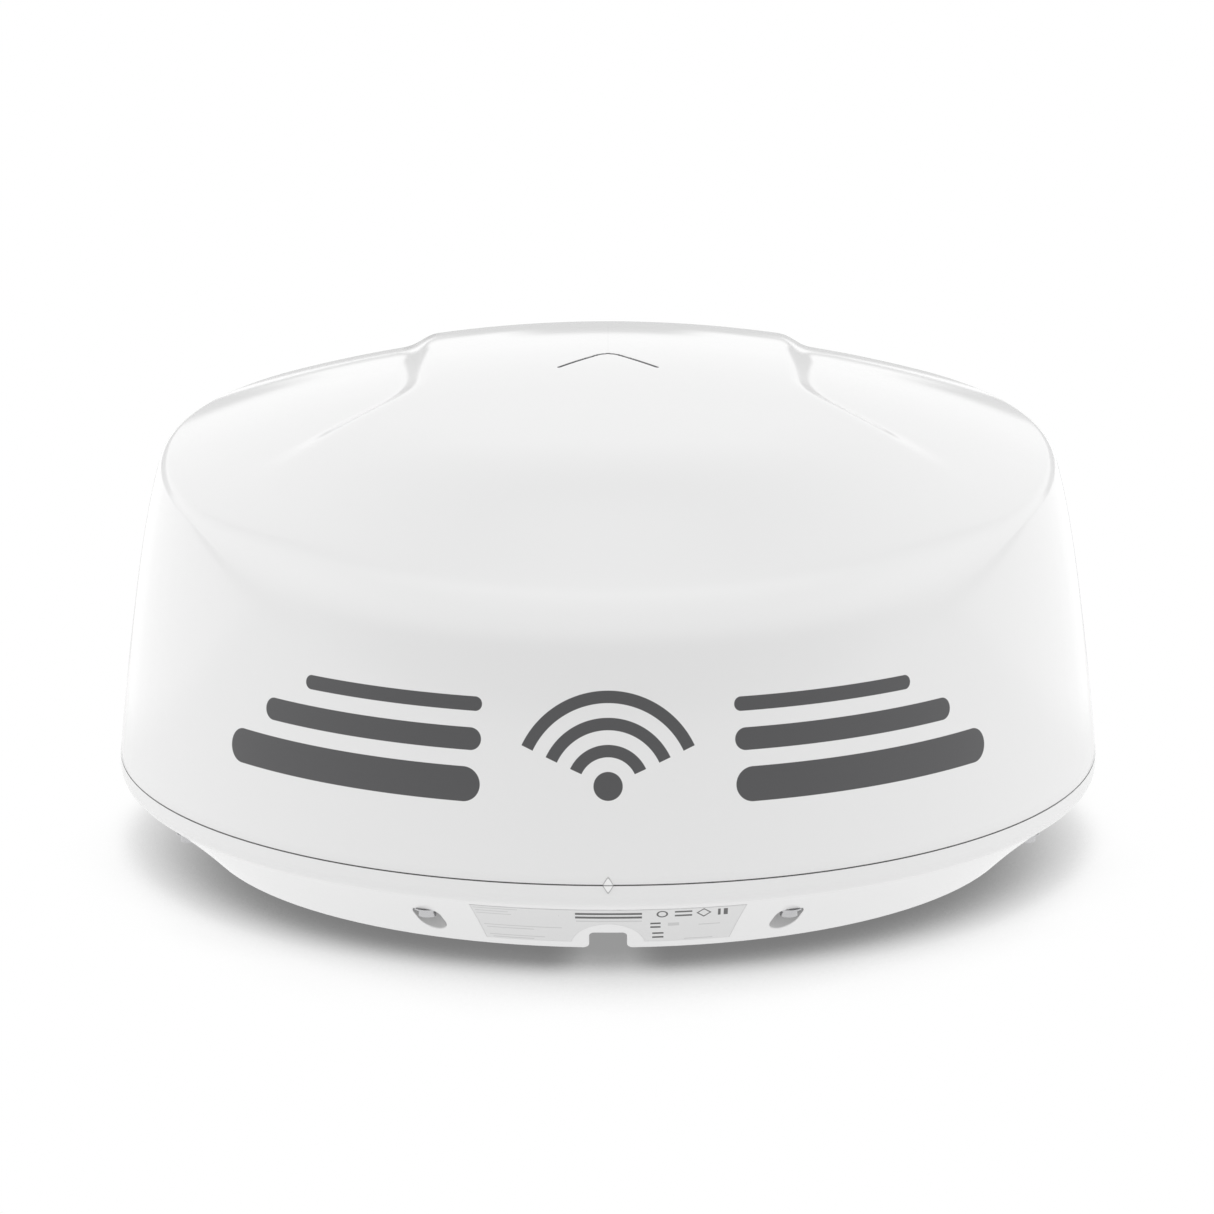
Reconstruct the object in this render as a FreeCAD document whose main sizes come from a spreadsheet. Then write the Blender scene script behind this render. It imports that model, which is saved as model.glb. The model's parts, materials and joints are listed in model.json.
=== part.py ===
import FreeCAD, Part
import math
import os
import Sketcher
from FreeCAD import Vector, Placement, Rotation

# Enclosed marine radar antenna: a round foot pan, a removable moulded dome, and
# inside it a belt-driven turntable carrying a broadside array.
# Frame: origin at the centre of the foot plane, +Z up, +Y to the bow,
# -Y to the stern, where the cable outlet and the alignment marks are.

doc = FreeCAD.newDocument("radar_dome")
sheet = doc.addObject("Spreadsheet::Sheet", "dims")
aliases = []


class Dim:
    """A size: its value, and the spreadsheet expression that gives it."""

    def __init__(self, text, value):
        self.text = text
        self.value = float(value)

    def join(self, sign, other, value):
        return Dim("(%s %s %s)" % (self.text, sign, other.text), value)

    def __add__(self, other):
        other = dim(other)
        return self.join("+", other, self.value + other.value)

    def __sub__(self, other):
        other = dim(other)
        return self.join("-", other, self.value - other.value)

    def __mul__(self, other):
        other = dim(other)
        return self.join("*", other, self.value * other.value)

    def __truediv__(self, other):
        other = dim(other)
        return self.join("/", other, self.value / other.value)

    def __rsub__(self, other):
        return dim(other) - self

    def __neg__(self):
        return 0 - self

    __radd__ = __add__
    __rmul__ = __mul__


def dim(size):
    return size if isinstance(size, Dim) else Dim("(%.9g)" % size, size)


def number(size):
    return dim(size).value


def cell(alias, value):
    """Add a driving size to the sheet and return it as a Dim."""
    aliases.append(alias)
    row = len(aliases)
    sheet.set("A%d" % row, alias.replace("_", " "))
    sheet.set("B%d" % row, "%.9g" % value)
    sheet.setAlias("B%d" % row, alias)
    return Dim("dims." + alias, value)


# ---------------------------------------------------------------- driving sizes
# Foot pan and its parting plane
seam_height = cell("seam_height", 45.5)
seam_gap = cell("seam_gap", 0.8)
rim_radius = cell("rim_radius", 253.3)
foot_radius = cell("foot_radius", 211.0)
foot_inner = cell("foot_inner_radius", 185.0)
floor_low = cell("floor_underside", 12.0)
floor_top = cell("floor_top", 16.0)
groove_inner = cell("groove_inner_radius", 243.5)
groove_outer = cell("groove_outer_radius", 248.5)
groove_floor = cell("groove_floor", 39.0)
gasket_top = cell("gasket_top", 42.6)
# Cover, its screws and the mounting points
screw_circle = cell("screw_circle", 230.3)
pocket_circle = cell("pocket_inner_circle", 225.1)
pocket_radius = cell("pocket_radius", 7.3)
screw_seat = cell("screw_seat", 21.6)
screw_core = cell("screw_shank_radius", 2.5)
cover_wall = cell("cover_wall", 4.0)
cover_roof = cell("cover_roof", 4.2)
mount_across = cell("mount_spacing_across", 233.0)
mount_along = cell("mount_spacing_along", 141.5)
mount_core = cell("mount_thread_radius", 3.4)
mount_insert = cell("mount_insert_radius", 6.5)
# Cable outlet and cable bay
outlet_width = cell("outlet_width", 18.5)
outlet_top = cell("outlet_height", 11.6)
bay_half = cell("bay_half_width", 36.0)
bay_stern = cell("bay_stern", -168.0)
bay_bow = cell("bay_bow", -84.0)
bay_roof = cell("bay_roof", 34.0)
bay_wall = cell("bay_wall", 4.0)
socket_x = cell("socket_offset", 16.0)
socket_z = cell("socket_height", 24.0)
# Pedestal, bearings and spindle
flange_radius = cell("pedestal_flange_radius", 62.0)
flange_top = cell("pedestal_flange_top", 22.0)
column_radius = cell("pedestal_column_radius", 32.0)
column_top = cell("pedestal_top", 74.0)
bearing_outer = cell("bearing_outer_radius", 23.5)
bearing_inner = cell("bearing_inner_radius", 12.5)
bearing_width = cell("bearing_width", 12.0)
lower_bearing = cell("lower_bearing_base", 42.0)
upper_bearing = cell("upper_bearing_base", 60.0)
ball_radius = cell("ball_radius", 3.0)
ball_circle = cell("ball_circle_radius", 18.0)
spindle_bore = cell("spindle_bore", 7.0)
# Drive and turntable
pulley_radius = cell("driven_pulley_radius", 60.0)
pinion_radius = cell("motor_pulley_radius", 10.0)
pulley_low = cell("pulley_base", 76.0)
pulley_top = cell("pulley_top", 88.0)
belt_thickness = cell("belt_thickness", 2.0)
belt_gap = cell("belt_gap", 0.05)
motor_x = cell("motor_offset", 95.0)
motor_side = cell("motor_side", 42.0)
motor_low = cell("motor_base", 28.0)
motor_top = cell("motor_face", 68.0)
shaft_radius = cell("motor_shaft_radius", 2.5)
table_radius = cell("turntable_radius", 55.0)
table_thickness = cell("turntable_thickness", 4.0)
# Array and circuit boards
array_half = cell("array_half_length", 205.0)
array_low = cell("array_base", 101.0)
array_top = cell("array_top", 170.0)
array_front = cell("array_front", -15.0)
array_back = cell("array_back", 11.0)
board_thickness = cell("board_thickness", 1.6)
doc.recompute()

# Derived levels
rim_top = seam_height - seam_gap / 2
cover_low = seam_height + seam_gap / 2
spindle_top = pulley_top + table_thickness
saddle_top = spindle_top + 3.0
belt_rim_low = pulley_low + 1.0
belt_rim_top = pulley_top - 1.0

# Small screws, used throughout the inside
small_head = 2.75
small_head_height = 2.5
small_core = 1.5

UP = Vector(0, 0, 1)
ALONG_Y = Rotation(Vector(1, 0, 0), -90)
ALONG_X = Rotation(Vector(0, 1, 0), 90)


# ---------------------------------------------------------------- builders
def driven(size):
    return isinstance(size, Dim) and "dims." in size.text


def bind(obj, prop, size):
    """Set a property, by expression if the size comes from the sheet."""
    if driven(size):
        obj.setExpression(prop, size.text)
    else:
        setattr(obj, prop, number(size))


def place(obj, x, y, z, rotation=Rotation()):
    obj.Placement = Placement(Vector(number(x), number(y), number(z)), rotation)
    for axis, size in (("x", x), ("y", y), ("z", z)):
        if driven(size):
            obj.setExpression("Placement.Base." + axis, size.text)


def new(kind, name="part"):
    return doc.addObject(kind, name)


def rod(radius, length, x, y, z, rotation=Rotation()):
    """A cylinder starting at x, y, z; along Z unless rotated."""
    obj = new("Part::Cylinder")
    bind(obj, "Radius", radius)
    bind(obj, "Height", length)
    place(obj, x, y, z, rotation)
    return obj


def cyl(radius, z0, z1, x=0.0, y=0.0):
    return rod(radius, dim(z1) - z0, x, y, z0)


def cyls(radius, z0, z1, spots):
    return [cyl(radius, z0, z1, x, y) for x, y in spots]


def cyl_y(radius, y0, y1, x, z):
    return rod(radius, dim(y1) - y0, x, y0, z, ALONG_Y)


def block(length, width, height, x, y, z, rotation=Rotation()):
    """A box with its corner at x, y, z, turned about that corner."""
    obj = new("Part::Box")
    bind(obj, "Length", length)
    bind(obj, "Width", width)
    bind(obj, "Height", height)
    place(obj, x, y, z, rotation)
    return obj


def box(x0, x1, y0, y1, z0, z1):
    return block(dim(x1) - x0, dim(y1) - y0, dim(z1) - z0, x0, y0, z0)


def spoke(length, start, width, z0, z1, degrees):
    """A radial rib: a box from radius start outwards, turned about the centre."""
    angle = math.radians(degrees)
    cos, sin = math.cos(angle), math.sin(angle)
    start = dim(start)
    half = number(width) / 2
    x, y = start * cos + half * sin, start * sin - half * cos
    return block(length, width, dim(z1) - z0, x, y, z0, Rotation(UP, degrees))


def prism(sides, radius, height):
    obj = new("Part::Prism")
    obj.Polygon = sides
    bind(obj, "Circumradius", radius)
    bind(obj, "Height", height)
    return obj


def fuse(shapes, name="part"):
    if len(shapes) == 1:
        return shapes[0]
    obj = new("Part::MultiFuse", name)
    obj.Shapes = shapes
    return obj


def cut(base, tool):
    """Cut a tool, or a list of tools fused together, from a base."""
    if isinstance(tool, list):
        tool = fuse(tool)
    obj = new("Part::Cut")
    obj.Base = base
    obj.Tool = tool
    return obj


def common(first, second):
    obj = new("Part::MultiCommon")
    obj.Shapes = [first, second]
    return obj


def group(solids):
    obj = new("Part::Compound")
    obj.Links = solids
    return obj


def tube(outer, inner, z0, z1, x=0.0, y=0.0):
    return cut(cyl(outer, z0, z1, x, y), cyl(inner, dim(z0) - 1.0, dim(z1) + 1.0, x, y))


def feature(shape, name="part", z=0.0):
    """A plain shape in the document. It follows the sheet only when the script is run."""
    obj = new("Part::Feature", name)
    obj.Shape = shape
    place(obj, 0.0, 0.0, z)
    return obj


def outline(body, points, arcs):
    """A closed sketch on the body's XZ plane; arcs[i] is a mid point for the edge leaving i."""
    sketch = body.newObject("Sketcher::SketchObject", "sketch")
    plane = [o for o in body.Origin.OriginFeatures if o.Role == "XZ_Plane"][0]
    sketch.AttachmentSupport = [(plane, "")]
    sketch.MapMode = "FlatFace"
    count = len(points)
    corners = [Vector(number(x), number(z), 0) for x, z in points]
    ends = []
    radii = {}
    for i in range(count):
        start, finish = corners[i], corners[(i + 1) % count]
        if i not in arcs:
            sketch.addGeometry(Part.LineSegment(start, finish))
            ends.append((1, 2))
            continue
        # Sketch arcs run counter-clockwise, so the ends may have to swap.
        mid = Vector(arcs[i][0], arcs[i][1], 0)
        forward = (mid - start).cross(finish - mid).z > 0
        first, last = (start, finish) if forward else (finish, start)
        circle = Part.Circle(first, mid, last)
        centre = Vector(circle.Center)
        angle0 = math.atan2(first.y - centre.y, first.x - centre.x)
        angle1 = math.atan2(last.y - centre.y, last.x - centre.x)
        if angle1 < angle0:
            angle1 += 2 * math.pi
        radii[i] = circle.Radius
        ring = Part.Circle(centre, UP, circle.Radius)
        sketch.addGeometry(Part.ArcOfCircle(ring, angle0, angle1))
        ends.append((1, 2) if forward else (2, 1))
    rules = []
    bound = []
    for i in range(count):
        j = (i + 1) % count
        rules.append(Sketcher.Constraint("Coincident", i, ends[i][1], j, ends[j][0]))
    for i in range(count):
        for kind, size in zip(("DistanceX", "DistanceY"), points[i]):
            if driven(size):
                bound.append((len(rules), size.text))
            rules.append(Sketcher.Constraint(kind, i, ends[i][0], number(size)))
        if i in radii:
            rules.append(Sketcher.Constraint("Radius", i, radii[i]))
    sketch.addConstraint(rules)
    for index, text in bound:
        sketch.setExpression("Constraints[%d]" % index, text)
    return sketch


def turned(points, arcs={}):
    """A body turned about the Z axis from a half profile of (radius, height) points."""
    body = new("PartDesign::Body")
    sketch = outline(body, points, arcs)
    turn = body.newObject("PartDesign::Revolution", "turn")
    turn.Profile = sketch
    turn.ReferenceAxis = (sketch, ["V_Axis"])
    turn.Angle = 360.0
    body.Tip = turn
    return body


def ring_points(count, radius, start):
    """Points evenly spaced on a circle, the first at start degrees."""
    angles = [math.radians(start + 360.0 * i / count) for i in range(count)]
    return [(dim(radius) * math.cos(a), dim(radius) * math.sin(a)) for a in angles]


def grid(xs, ys):
    return [(x, y) for x in xs for y in ys]


def screw(x, y, head_radius, head_low, head_top, core, tip):
    """A screw along Z, with a hex socket in the end of the head away from the tip."""
    low, top = dim(head_low), dim(head_top)
    upward = number(tip) > top.value
    head = cyl(head_radius, low, top, x, y)
    shank = cyl(core, top if upward else tip, tip if upward else low, x, y)
    depth = (top - low) * 0.5
    recess = prism(6, dim(head_radius) * 0.5, depth)
    place(recess, x, y, low if upward else top - depth)
    return cut(fuse([head, shank]), recess)


def screws(spots, *sizes):
    return [screw(x, y, *sizes) for x, y in spots]


def small_screws(spots, face, tip):
    """Small screws down through a face."""
    return screws(spots, small_head, face, face + small_head_height, small_core, tip)


def array_screws_at(spots, face):
    """Small screws along Y into the array frame, heads towards the bow on a face."""
    return [
        fuse([cyl_y(small_head, face, face + small_head_height, x, z),
              cyl_y(small_core, 9.2, face, x, z)])
        for x, z in spots
    ]


def cable(points, radius):
    """A round cable swept along a smooth path through (x, y, z) points."""
    path = [Vector(*[number(p) for p in point]) for point in points]
    spine = Part.BSplineCurve()
    spine.interpolate(path)
    tangent = spine.tangent(spine.FirstParameter)[0]
    profile = Part.Wire([Part.Circle(path[0], tangent, radius).toShape()])
    return feature(Part.Wire([spine.toShape()]).makePipeShell([profile], True, True))


builders = []


def piece(build):
    """Register a function as the builder of the piece that bears its name."""
    builders.append(build)
    return build


# ---------------------------------------------------------------- fixing points
COVER_ANGLES = [-67.5 + 45.0 * i for i in range(8)]
cover_spots = ring_points(8, screw_circle, COVER_ANGLES[0])
pocket_spots = ring_points(8, pocket_circle, COVER_ANGLES[0])
mount_spots = grid((-mount_across / 2, mount_across / 2), (-mount_along / 2, mount_along / 2))
pedestal_spots = ring_points(4, 52.0, 45.0)
table_spots = ring_points(4, 25.0, 45.0)
plate_spots = grid((-38.0, 38.0), (-160.0, -92.0))
bracket_spots = grid((motor_x - 9.0, motor_x + 9.0), (-33.0, 33.0))
motor_spots = grid((motor_x - 15.5, motor_x + 15.5), (-15.5, 15.5))
board_spots = grid((-78.0, 78.0), (86.0, 158.0))
driver_spots = grid((138.0, 190.0), (-42.0, 42.0))
vent_x, vent_y = 100.0, -110.0

# Transceiver tray: far and near ends in X from the centre, and half its width
tray_far, tray_near, tray_half = -190.0, -82.0, 52.0
tray_spots = grid((tray_far + 4, tray_near - 4), (-60.0, 60.0))
lid_spots = grid((tray_far + 5, tray_near - 5), (5 - tray_half, tray_half - 5))

# ---------------------------------------------------------------- foot pan
# Outside of the pan, (radius, height), upwards from the foot
pan_outer = [
    (foot_radius, 0.0),
    (rim_radius - 3.4, 32.7),
    (rim_radius, 39.5),
    (rim_radius, rim_top - 0.6),
    (rim_radius - 0.6, rim_top),
]
# The rest of the section: groove, inner face, floor and hollow foot
pan_inner = [
    (groove_outer, rim_top),
    (groove_outer, groove_floor),
    (groove_inner, groove_floor),
    (groove_inner, rim_top - 0.5),
    (240.0, rim_top - 0.5),
    (240.0, 34.0),
    (221.5, floor_top),
    (0.0, floor_top),
    (0.0, floor_low),
    (foot_inner, floor_low),
    (foot_inner, 0.0),
    (foot_inner + 4.0, 0.0),
    (foot_inner + 4.0, floor_low),
    (217.5, floor_low),
    (206.5, 0.0),
]
slope_mid = (228.35, 15.9)
pan_arcs = {0: slope_mid, 1: (252.4, 35.7)}
boss_radius = 10.5
outlet_edge_radius = 2.5
outlet_lip_radius = 3.0


def alignment_mark(side, low, top):
    """A triangle on the stern of the rim, below (-1) or above (1) the seam."""
    mark = prism(3, 2.9, 2.0)
    turn = ALONG_Y * Rotation(UP, -90 * side)
    place(mark, 0.0, -rim_radius - 0.4, seam_height + 2.1 * side, turn)
    return common(mark, box(-4.0, 4.0, -258.0, -246.0, low, top))


def pan_body():
    """The turned pan with its bosses, ribs and the block of the cable bay, undrilled."""
    shell = turned(pan_outer + pan_inner, pan_arcs)
    envelope = turned(pan_outer + [(0.0, rim_top), (0.0, 0.0)], pan_arcs)
    stock = cyls(boss_radius, floor_low, rim_top - 0.8, cover_spots)
    stock += cyls(boss_radius, floor_low, screw_seat + 4.0, pocket_spots)
    stock += [
        spoke(24.0, foot_inner + 2.0, 3.0, 1.0, floor_low + 2.0, i * 15.0 + 7.5)
        for i in range(24)
    ]
    bosses = common(fuse(stock), envelope)
    under = floor_low + 1.0
    underside = cyls(14.0, 0.0, under, mount_spots)
    underside += cyls(7.5, 4.0, under, pedestal_spots)
    # Radial ribs, except towards the stern, where the cable bay is
    underside += [
        spoke(128.0, 58.0, 3.0, 5.0, under, angle) for angle in range(0, 360, 30) if angle != 270
    ]
    hub_ring = tube(64.0, 60.5, 5.0, under)
    bay = box(
        -(bay_half + bay_wall), bay_half + bay_wall, bay_stern - bay_wall, bay_bow + bay_wall,
        floor_low, bay_roof + bay_wall,
    )
    return fuse([shell, bosses, hub_ring, bay] + underside)


def outlet_tools():
    """The cable outlet: a slot rounded at the top, flared at its two lower corners."""
    slot = box(-outlet_width / 2, outlet_width / 2, -230.0, -170.0, -6.0, outlet_top)
    rounded = new("Part::Fillet")
    rounded.Base = slot
    # The edges can be picked only once the slot has a shape.
    doc.recompute()
    rounded.Edges = [
        (i + 1, outlet_edge_radius, outlet_edge_radius)
        for i, edge in enumerate(slot.Shape.Edges)
        if edge.BoundBox.ZMin > outlet_top.value - 0.1 and edge.BoundBox.YLength > 10
    ]
    tools = [rounded]
    for side in (-1, 1):
        edge_x = side * outlet_width / 2
        centre_x = edge_x + outlet_lip_radius * side
        x0, x1 = sorted((edge_x - 0.5 * side, centre_x), key=number)
        tools.append(cut(
            box(x0, x1, -230.0, -203.0, -1.0, outlet_lip_radius),
            cyl_y(outlet_lip_radius, -231.0, -202.0, centre_x, outlet_lip_radius)))
    return tools


@piece
def foot_pan():
    # Screw pockets: two drillings each, joined by a radial slot
    holes = cyls(pocket_radius, -1.0, screw_seat, cover_spots + pocket_spots)
    for angle in COVER_ANGLES:
        holes.append(spoke(
            screw_circle - pocket_circle, pocket_circle, 2 * pocket_radius,
            -1.0, screw_seat, angle))
    holes += cyls(4.0, screw_seat - 1.0, screw_seat + 0.8, cover_spots)
    holes += cyls(screw_core + 0.1, screw_seat - 1.0, 50.0, cover_spots)
    holes += cyls(mount_insert, -1.0, floor_low, mount_spots)
    holes += cyls(2.5, 6.0, 20.0, pedestal_spots)
    # Cable bay and its two socket holes
    holes += [box(-bay_half, bay_half, bay_stern, bay_bow, -1.0, bay_roof)]
    holes += [
        cyl_y(socket_barrel, bay_bow - 1.0, bay_bow + bay_wall + 1.0, x, socket_z)
        for x in (-socket_x, socket_x)
    ]
    holes += [cyl(5.0, 0.0, 20.0, vent_x, vent_y)]
    holes += cyls(plate_screw_core, 11.0, 20.0, plate_spots)
    holes += outlet_tools()
    holes += cyls(small_core, 12.5, 20.0, bracket_spots + tray_spots)
    mark = alignment_mark(-1, 38.0, rim_top)
    return fuse([cut(pan_body(), holes), mark], "foot_pan_solid")


@piece
def seal_gasket():
    return tube(groove_outer - 0.1, groove_inner + 0.1, groove_floor, gasket_top)


# ---------------------------------------------------------------- cover fasteners
@piece
def cover_screws():
    """Each screw comes up from below and carries a washer under the seat."""
    return group([
        fuse([screw(x, y, 4.35, screw_seat - 4.3, screw_seat, screw_core, 58.0),
              tube(6.6, 3.0, screw_seat - 0.8, screw_seat, x, y)])
        for x, y in cover_spots
    ])


@piece
def screw_seals():
    return group([
        tube(4.0, screw_core, screw_seat, screw_seat + 0.8, x, y) for x, y in cover_spots
    ])


@piece
def mount_inserts():
    return group([
        cut(cyl(mount_insert, 0.5, floor_low, x, y),
            cyl(mount_core, 0.0, floor_low - 1.0, x, y))
        for x, y in mount_spots
    ])


# ---------------------------------------------------------------- cable bay
plate_low = floor_low - 3.0
plate_screw_core = 1.25
socket_barrel = 6.0
socket_inner_face = bay_bow + bay_wall


@piece
def cable_cover():
    plate = box(
        -(bay_half + 6.0), bay_half + 6.0, bay_stern - 4.0, bay_bow + 4.0, plate_low, floor_low)
    holes = cyls(plate_screw_core, 5.0, 14.0, plate_spots)
    holes += [box(-12.0, 12.0, bay_stern - 10.0, bay_stern + 16.0, 5.0, 14.0)]
    return cut(plate, holes)


@piece
def cable_cover_screws():
    return group(screws(plate_spots, 2.6, 7.0, plate_low, plate_screw_core, 19.0))


def socket(x):
    """A round socket in the bow wall of the bay, open to the stern."""
    shell = fuse([
        cyl_y(7.4, bay_bow - 3.0, bay_bow, x, socket_z),
        cyl_y(5.8, bay_bow - 14.0, bay_bow - 2.0, x, socket_z),
        cyl_y(socket_barrel, bay_bow, socket_inner_face + 7.0, x, socket_z),
    ])
    return cut(shell, cyl_y(4.6, bay_bow - 15.0, bay_bow - 5.0, x, socket_z))


@piece
def power_socket():
    return socket(-socket_x)


@piece
def network_socket():
    return socket(socket_x)


@piece
def socket_nuts():
    face = socket_inner_face
    return group([
        cut(cyl_y(7.8, face, face + 3.0, x, socket_z),
            cyl_y(socket_barrel, face - 1.0, face + 5.0, x, socket_z))
        for x in (-socket_x, socket_x)
    ])


@piece
def socket_contacts():
    """Three pins in the power socket and eight in the network socket."""
    pins = []
    for centre_x, count in ((-socket_x, 3), (socket_x, 8)):
        for x, z in ring_points(count, 2.6, 0.0):
            pins.append(cyl_y(0.6, bay_bow - 11.0, bay_bow - 5.0, centre_x + x, socket_z + z))
    return group(pins)


@piece
def vent_plug():
    plug = fuse([
        cyl(8.0, floor_low - 2.5, floor_low, vent_x, vent_y),
        cyl(5.0, floor_low - 1.0, floor_top + 1.0, vent_x, vent_y),
        cyl(6.0, floor_top, floor_top + 1.5, vent_x, vent_y),
    ])
    return cut(plug, cyl(2.0, 8.0, 15.0, vent_x, vent_y))


# ---------------------------------------------------------------- pedestal and bearings
circlip_low = lower_bearing - 1.5
circlip_radius = bearing_outer + 1.2
arm_top = 64.0


@piece
def pedestal():
    """A flanged column with two bearing seats, and an arm for the index sensor."""
    column = turned([
        (flange_radius, floor_top),
        (flange_radius, flange_top),
        (44.0, flange_top + 1.0),
        (column_radius + 2.0, 32.0),
        (column_radius, 44.0),
        (column_radius, column_top),
        (bearing_outer, column_top),
        (bearing_outer, upper_bearing),
        (bearing_outer - 3.0, upper_bearing),
        (bearing_outer - 3.0, lower_bearing + bearing_width),
        (bearing_outer, lower_bearing + bearing_width),
        (bearing_outer, lower_bearing),
        (circlip_radius, lower_bearing),
        (circlip_radius, circlip_low),
        (bearing_outer, circlip_low),
        (bearing_outer, floor_top),
    ])
    arm = box(-60.0, -28.0, -6.0, 6.0, 60.0, arm_top)
    holes = cyls(2.5, 15.0, 30.0, pedestal_spots)
    holes += cyls(4.6, flange_top, 40.0, pedestal_spots)
    holes += [box(-70.0, -10.0, -7.0, 7.0, floor_top + 3.0, 32.0)]
    return cut(fuse([column, arm]), holes)


@piece
def pedestal_screws():
    return group(screws(pedestal_spots, 4.5, flange_top, flange_top + 5.0, 2.5, 6.5))


@piece
def circlip():
    ring = tube(circlip_radius, bearing_outer - 2.5, circlip_low, lower_bearing)
    return cut(ring, box(-3.0, 3.0, -30.0, 0.0, 38.0, 44.0))


def races(inner, outer):
    """The same race in both bearings, with its ball track."""
    rings = []
    for base in (lower_bearing, upper_bearing):
        track = new("Part::Torus")
        bind(track, "Radius1", ball_circle)
        bind(track, "Radius2", ball_radius + 0.05)
        place(track, 0, 0, base + bearing_width / 2)
        rings.append(cut(tube(outer, inner, base, base + bearing_width), track))
    return group(rings)


@piece
def bearing_outer_races():
    return races(ball_circle + 2.0, bearing_outer)


@piece
def bearing_inner_races():
    return races(bearing_inner, ball_circle - 2.0)


ball_spots = ring_points(12, ball_circle, 0.0)
ball_levels = [base + bearing_width / 2 for base in (lower_bearing, upper_bearing)]


def ball(x, y, z):
    obj = new("Part::Sphere")
    bind(obj, "Radius", ball_radius)
    place(obj, x, y, z)
    return obj


def ball_window(x, y, z):
    """A radial drilling through a cage, a little larger than its ball."""
    length = 8.0
    angle = math.atan2(number(y), number(x))
    outward = Vector(math.cos(angle), math.sin(angle), 0)
    start_x = x - length / 2 * outward.x
    start_y = y - length / 2 * outward.y
    return rod(ball_radius + 0.1, length, start_x, start_y, z, Rotation(UP, outward))


@piece
def bearing_balls():
    return group([ball(x, y, z) for z in ball_levels for x, y in ball_spots])


@piece
def bearing_cages():
    cages = []
    for z in ball_levels:
        ring = tube(ball_circle + 1.3, ball_circle - 1.3, z - 4.2, z + 4.2)
        cages.append(cut(ring, [ball_window(x, y, z) for x, y in ball_spots]))
    return group(cages)


# ---------------------------------------------------------------- spindle and turntable
@piece
def spindle():
    shoulder = bearing_inner + 3.2
    shoulder_low = upper_bearing + bearing_width
    return turned([
        (spindle_bore, 36.5),
        (bearing_inner, 36.5),
        (bearing_inner, shoulder_low),
        (shoulder, shoulder_low),
        (shoulder, pulley_low),
        (bearing_inner, pulley_low),
        (bearing_inner, spindle_top),
        (spindle_bore, spindle_top),
    ])


@piece
def bearing_spacer():
    return tube(15.6, bearing_inner, lower_bearing + bearing_width, upper_bearing)


@piece
def spindle_nut():
    """A ring nut with four slots in its rim."""
    slots = [spoke(6.0, 15.4, 3.0, 36.0, 40.0, angle) for angle in (0, 90, 180, 270)]
    return cut(tube(17.0, bearing_inner, 37.0, lower_bearing), slots)


@piece
def driven_pulley():
    flange = pulley_radius + 2.4
    body = turned([
        (bearing_inner, pulley_low),
        (20.0, pulley_low),
        (20.0, pulley_low + 4.0),
        (54.0, pulley_low + 4.0),
        (54.0, belt_rim_low),
        (flange, belt_rim_low),
        (flange, belt_rim_low + 1.0),
        (pulley_radius, belt_rim_low + 1.0),
        (pulley_radius, belt_rim_top - 1.0),
        (flange, belt_rim_top - 1.0),
        (flange, belt_rim_top),
        (54.0, belt_rim_top),
        (54.0, pulley_low + 7.0),
        (32.0, pulley_low + 7.0),
        (32.0, pulley_top),
        (bearing_inner, pulley_top),
    ])
    holes = cyls(2.0, pulley_top - 8.0, 100.0, table_spots)
    holes += cyls(6.5, 70.0, 95.0, ring_points(6, 43.0, 30.0))
    return cut(body, holes)


@piece
def turntable():
    holes = cyls(2.0, 80.0, 100.0, table_spots) + [cyl(bearing_inner, 80.0, 100.0)]
    return cut(cyl(table_radius, pulley_top, spindle_top), holes)


@piece
def turntable_screws():
    return group(screws(table_spots, 3.5, saddle_top, saddle_top + 3.0, 2.0, pulley_top - 8.0))


@piece
def index_magnet():
    return cyl(3.0, pulley_low + 0.5, pulley_low + 4.0, -46.0, 0.0)


@piece
def index_sensor():
    board_top = arm_top + board_thickness
    return fuse([
        box(-55.0, -37.0, -5.0, 5.0, arm_top, board_top),
        box(-49.0, -43.0, -3.0, 3.0, board_top, 70.0),
    ])


# ---------------------------------------------------------------- rotary joint
def rotor_block():
    return box(-4.0, 4.0, -4.0, 22.0, spindle_top, spindle_top + 6.0)


@piece
def rotary_joint_stator():
    body = fuse([
        cyl(14.0, floor_top, floor_top + 2.0),
        cyl(9.0, floor_top, 36.0),
        box(-24.0, -6.0, -4.0, 4.0, 20.0, 28.0),
    ])
    return cut(body, cyl(3.05, 28.0, 40.0))


@piece
def rotary_joint_rotor():
    return fuse([cyl(3.0, 30.0, 40.0), cyl(spindle_bore, 38.0, spindle_top), rotor_block()])


# ---------------------------------------------------------------- motor drive
pilot_radius = 11.0


@piece
def motor_case():
    """A square case with bevelled corners, a round pilot on top and a connector block."""
    half = motor_side / 2
    blank = box(motor_x - half, motor_x + half, -half, half, motor_low, motor_top)
    # Square bars turned by 45 degrees and centred on the corners
    bar_side, bar_offset = 6.4, 4.525
    holes = [
        block(bar_side, bar_side, 60.0, x, y - bar_offset, 20.0, Rotation(UP, 45))
        for x, y in grid((motor_x - half, motor_x + half), (-half, half))
    ]
    holes += [cyl(shaft_radius + 0.05, 20.0, 80.0, motor_x, 0.0)]
    holes += cyls(small_core, motor_top - 6.0, 80.0, motor_spots)
    pilot = cyl(pilot_radius, motor_top - 1.0, motor_top + 2.0, motor_x, 0.0)
    connector = box(motor_x + 18.0, motor_x + 27.0, -8.0, 8.0, 30.0, 38.0)
    return cut(fuse([blank, pilot, connector]), holes)


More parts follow.
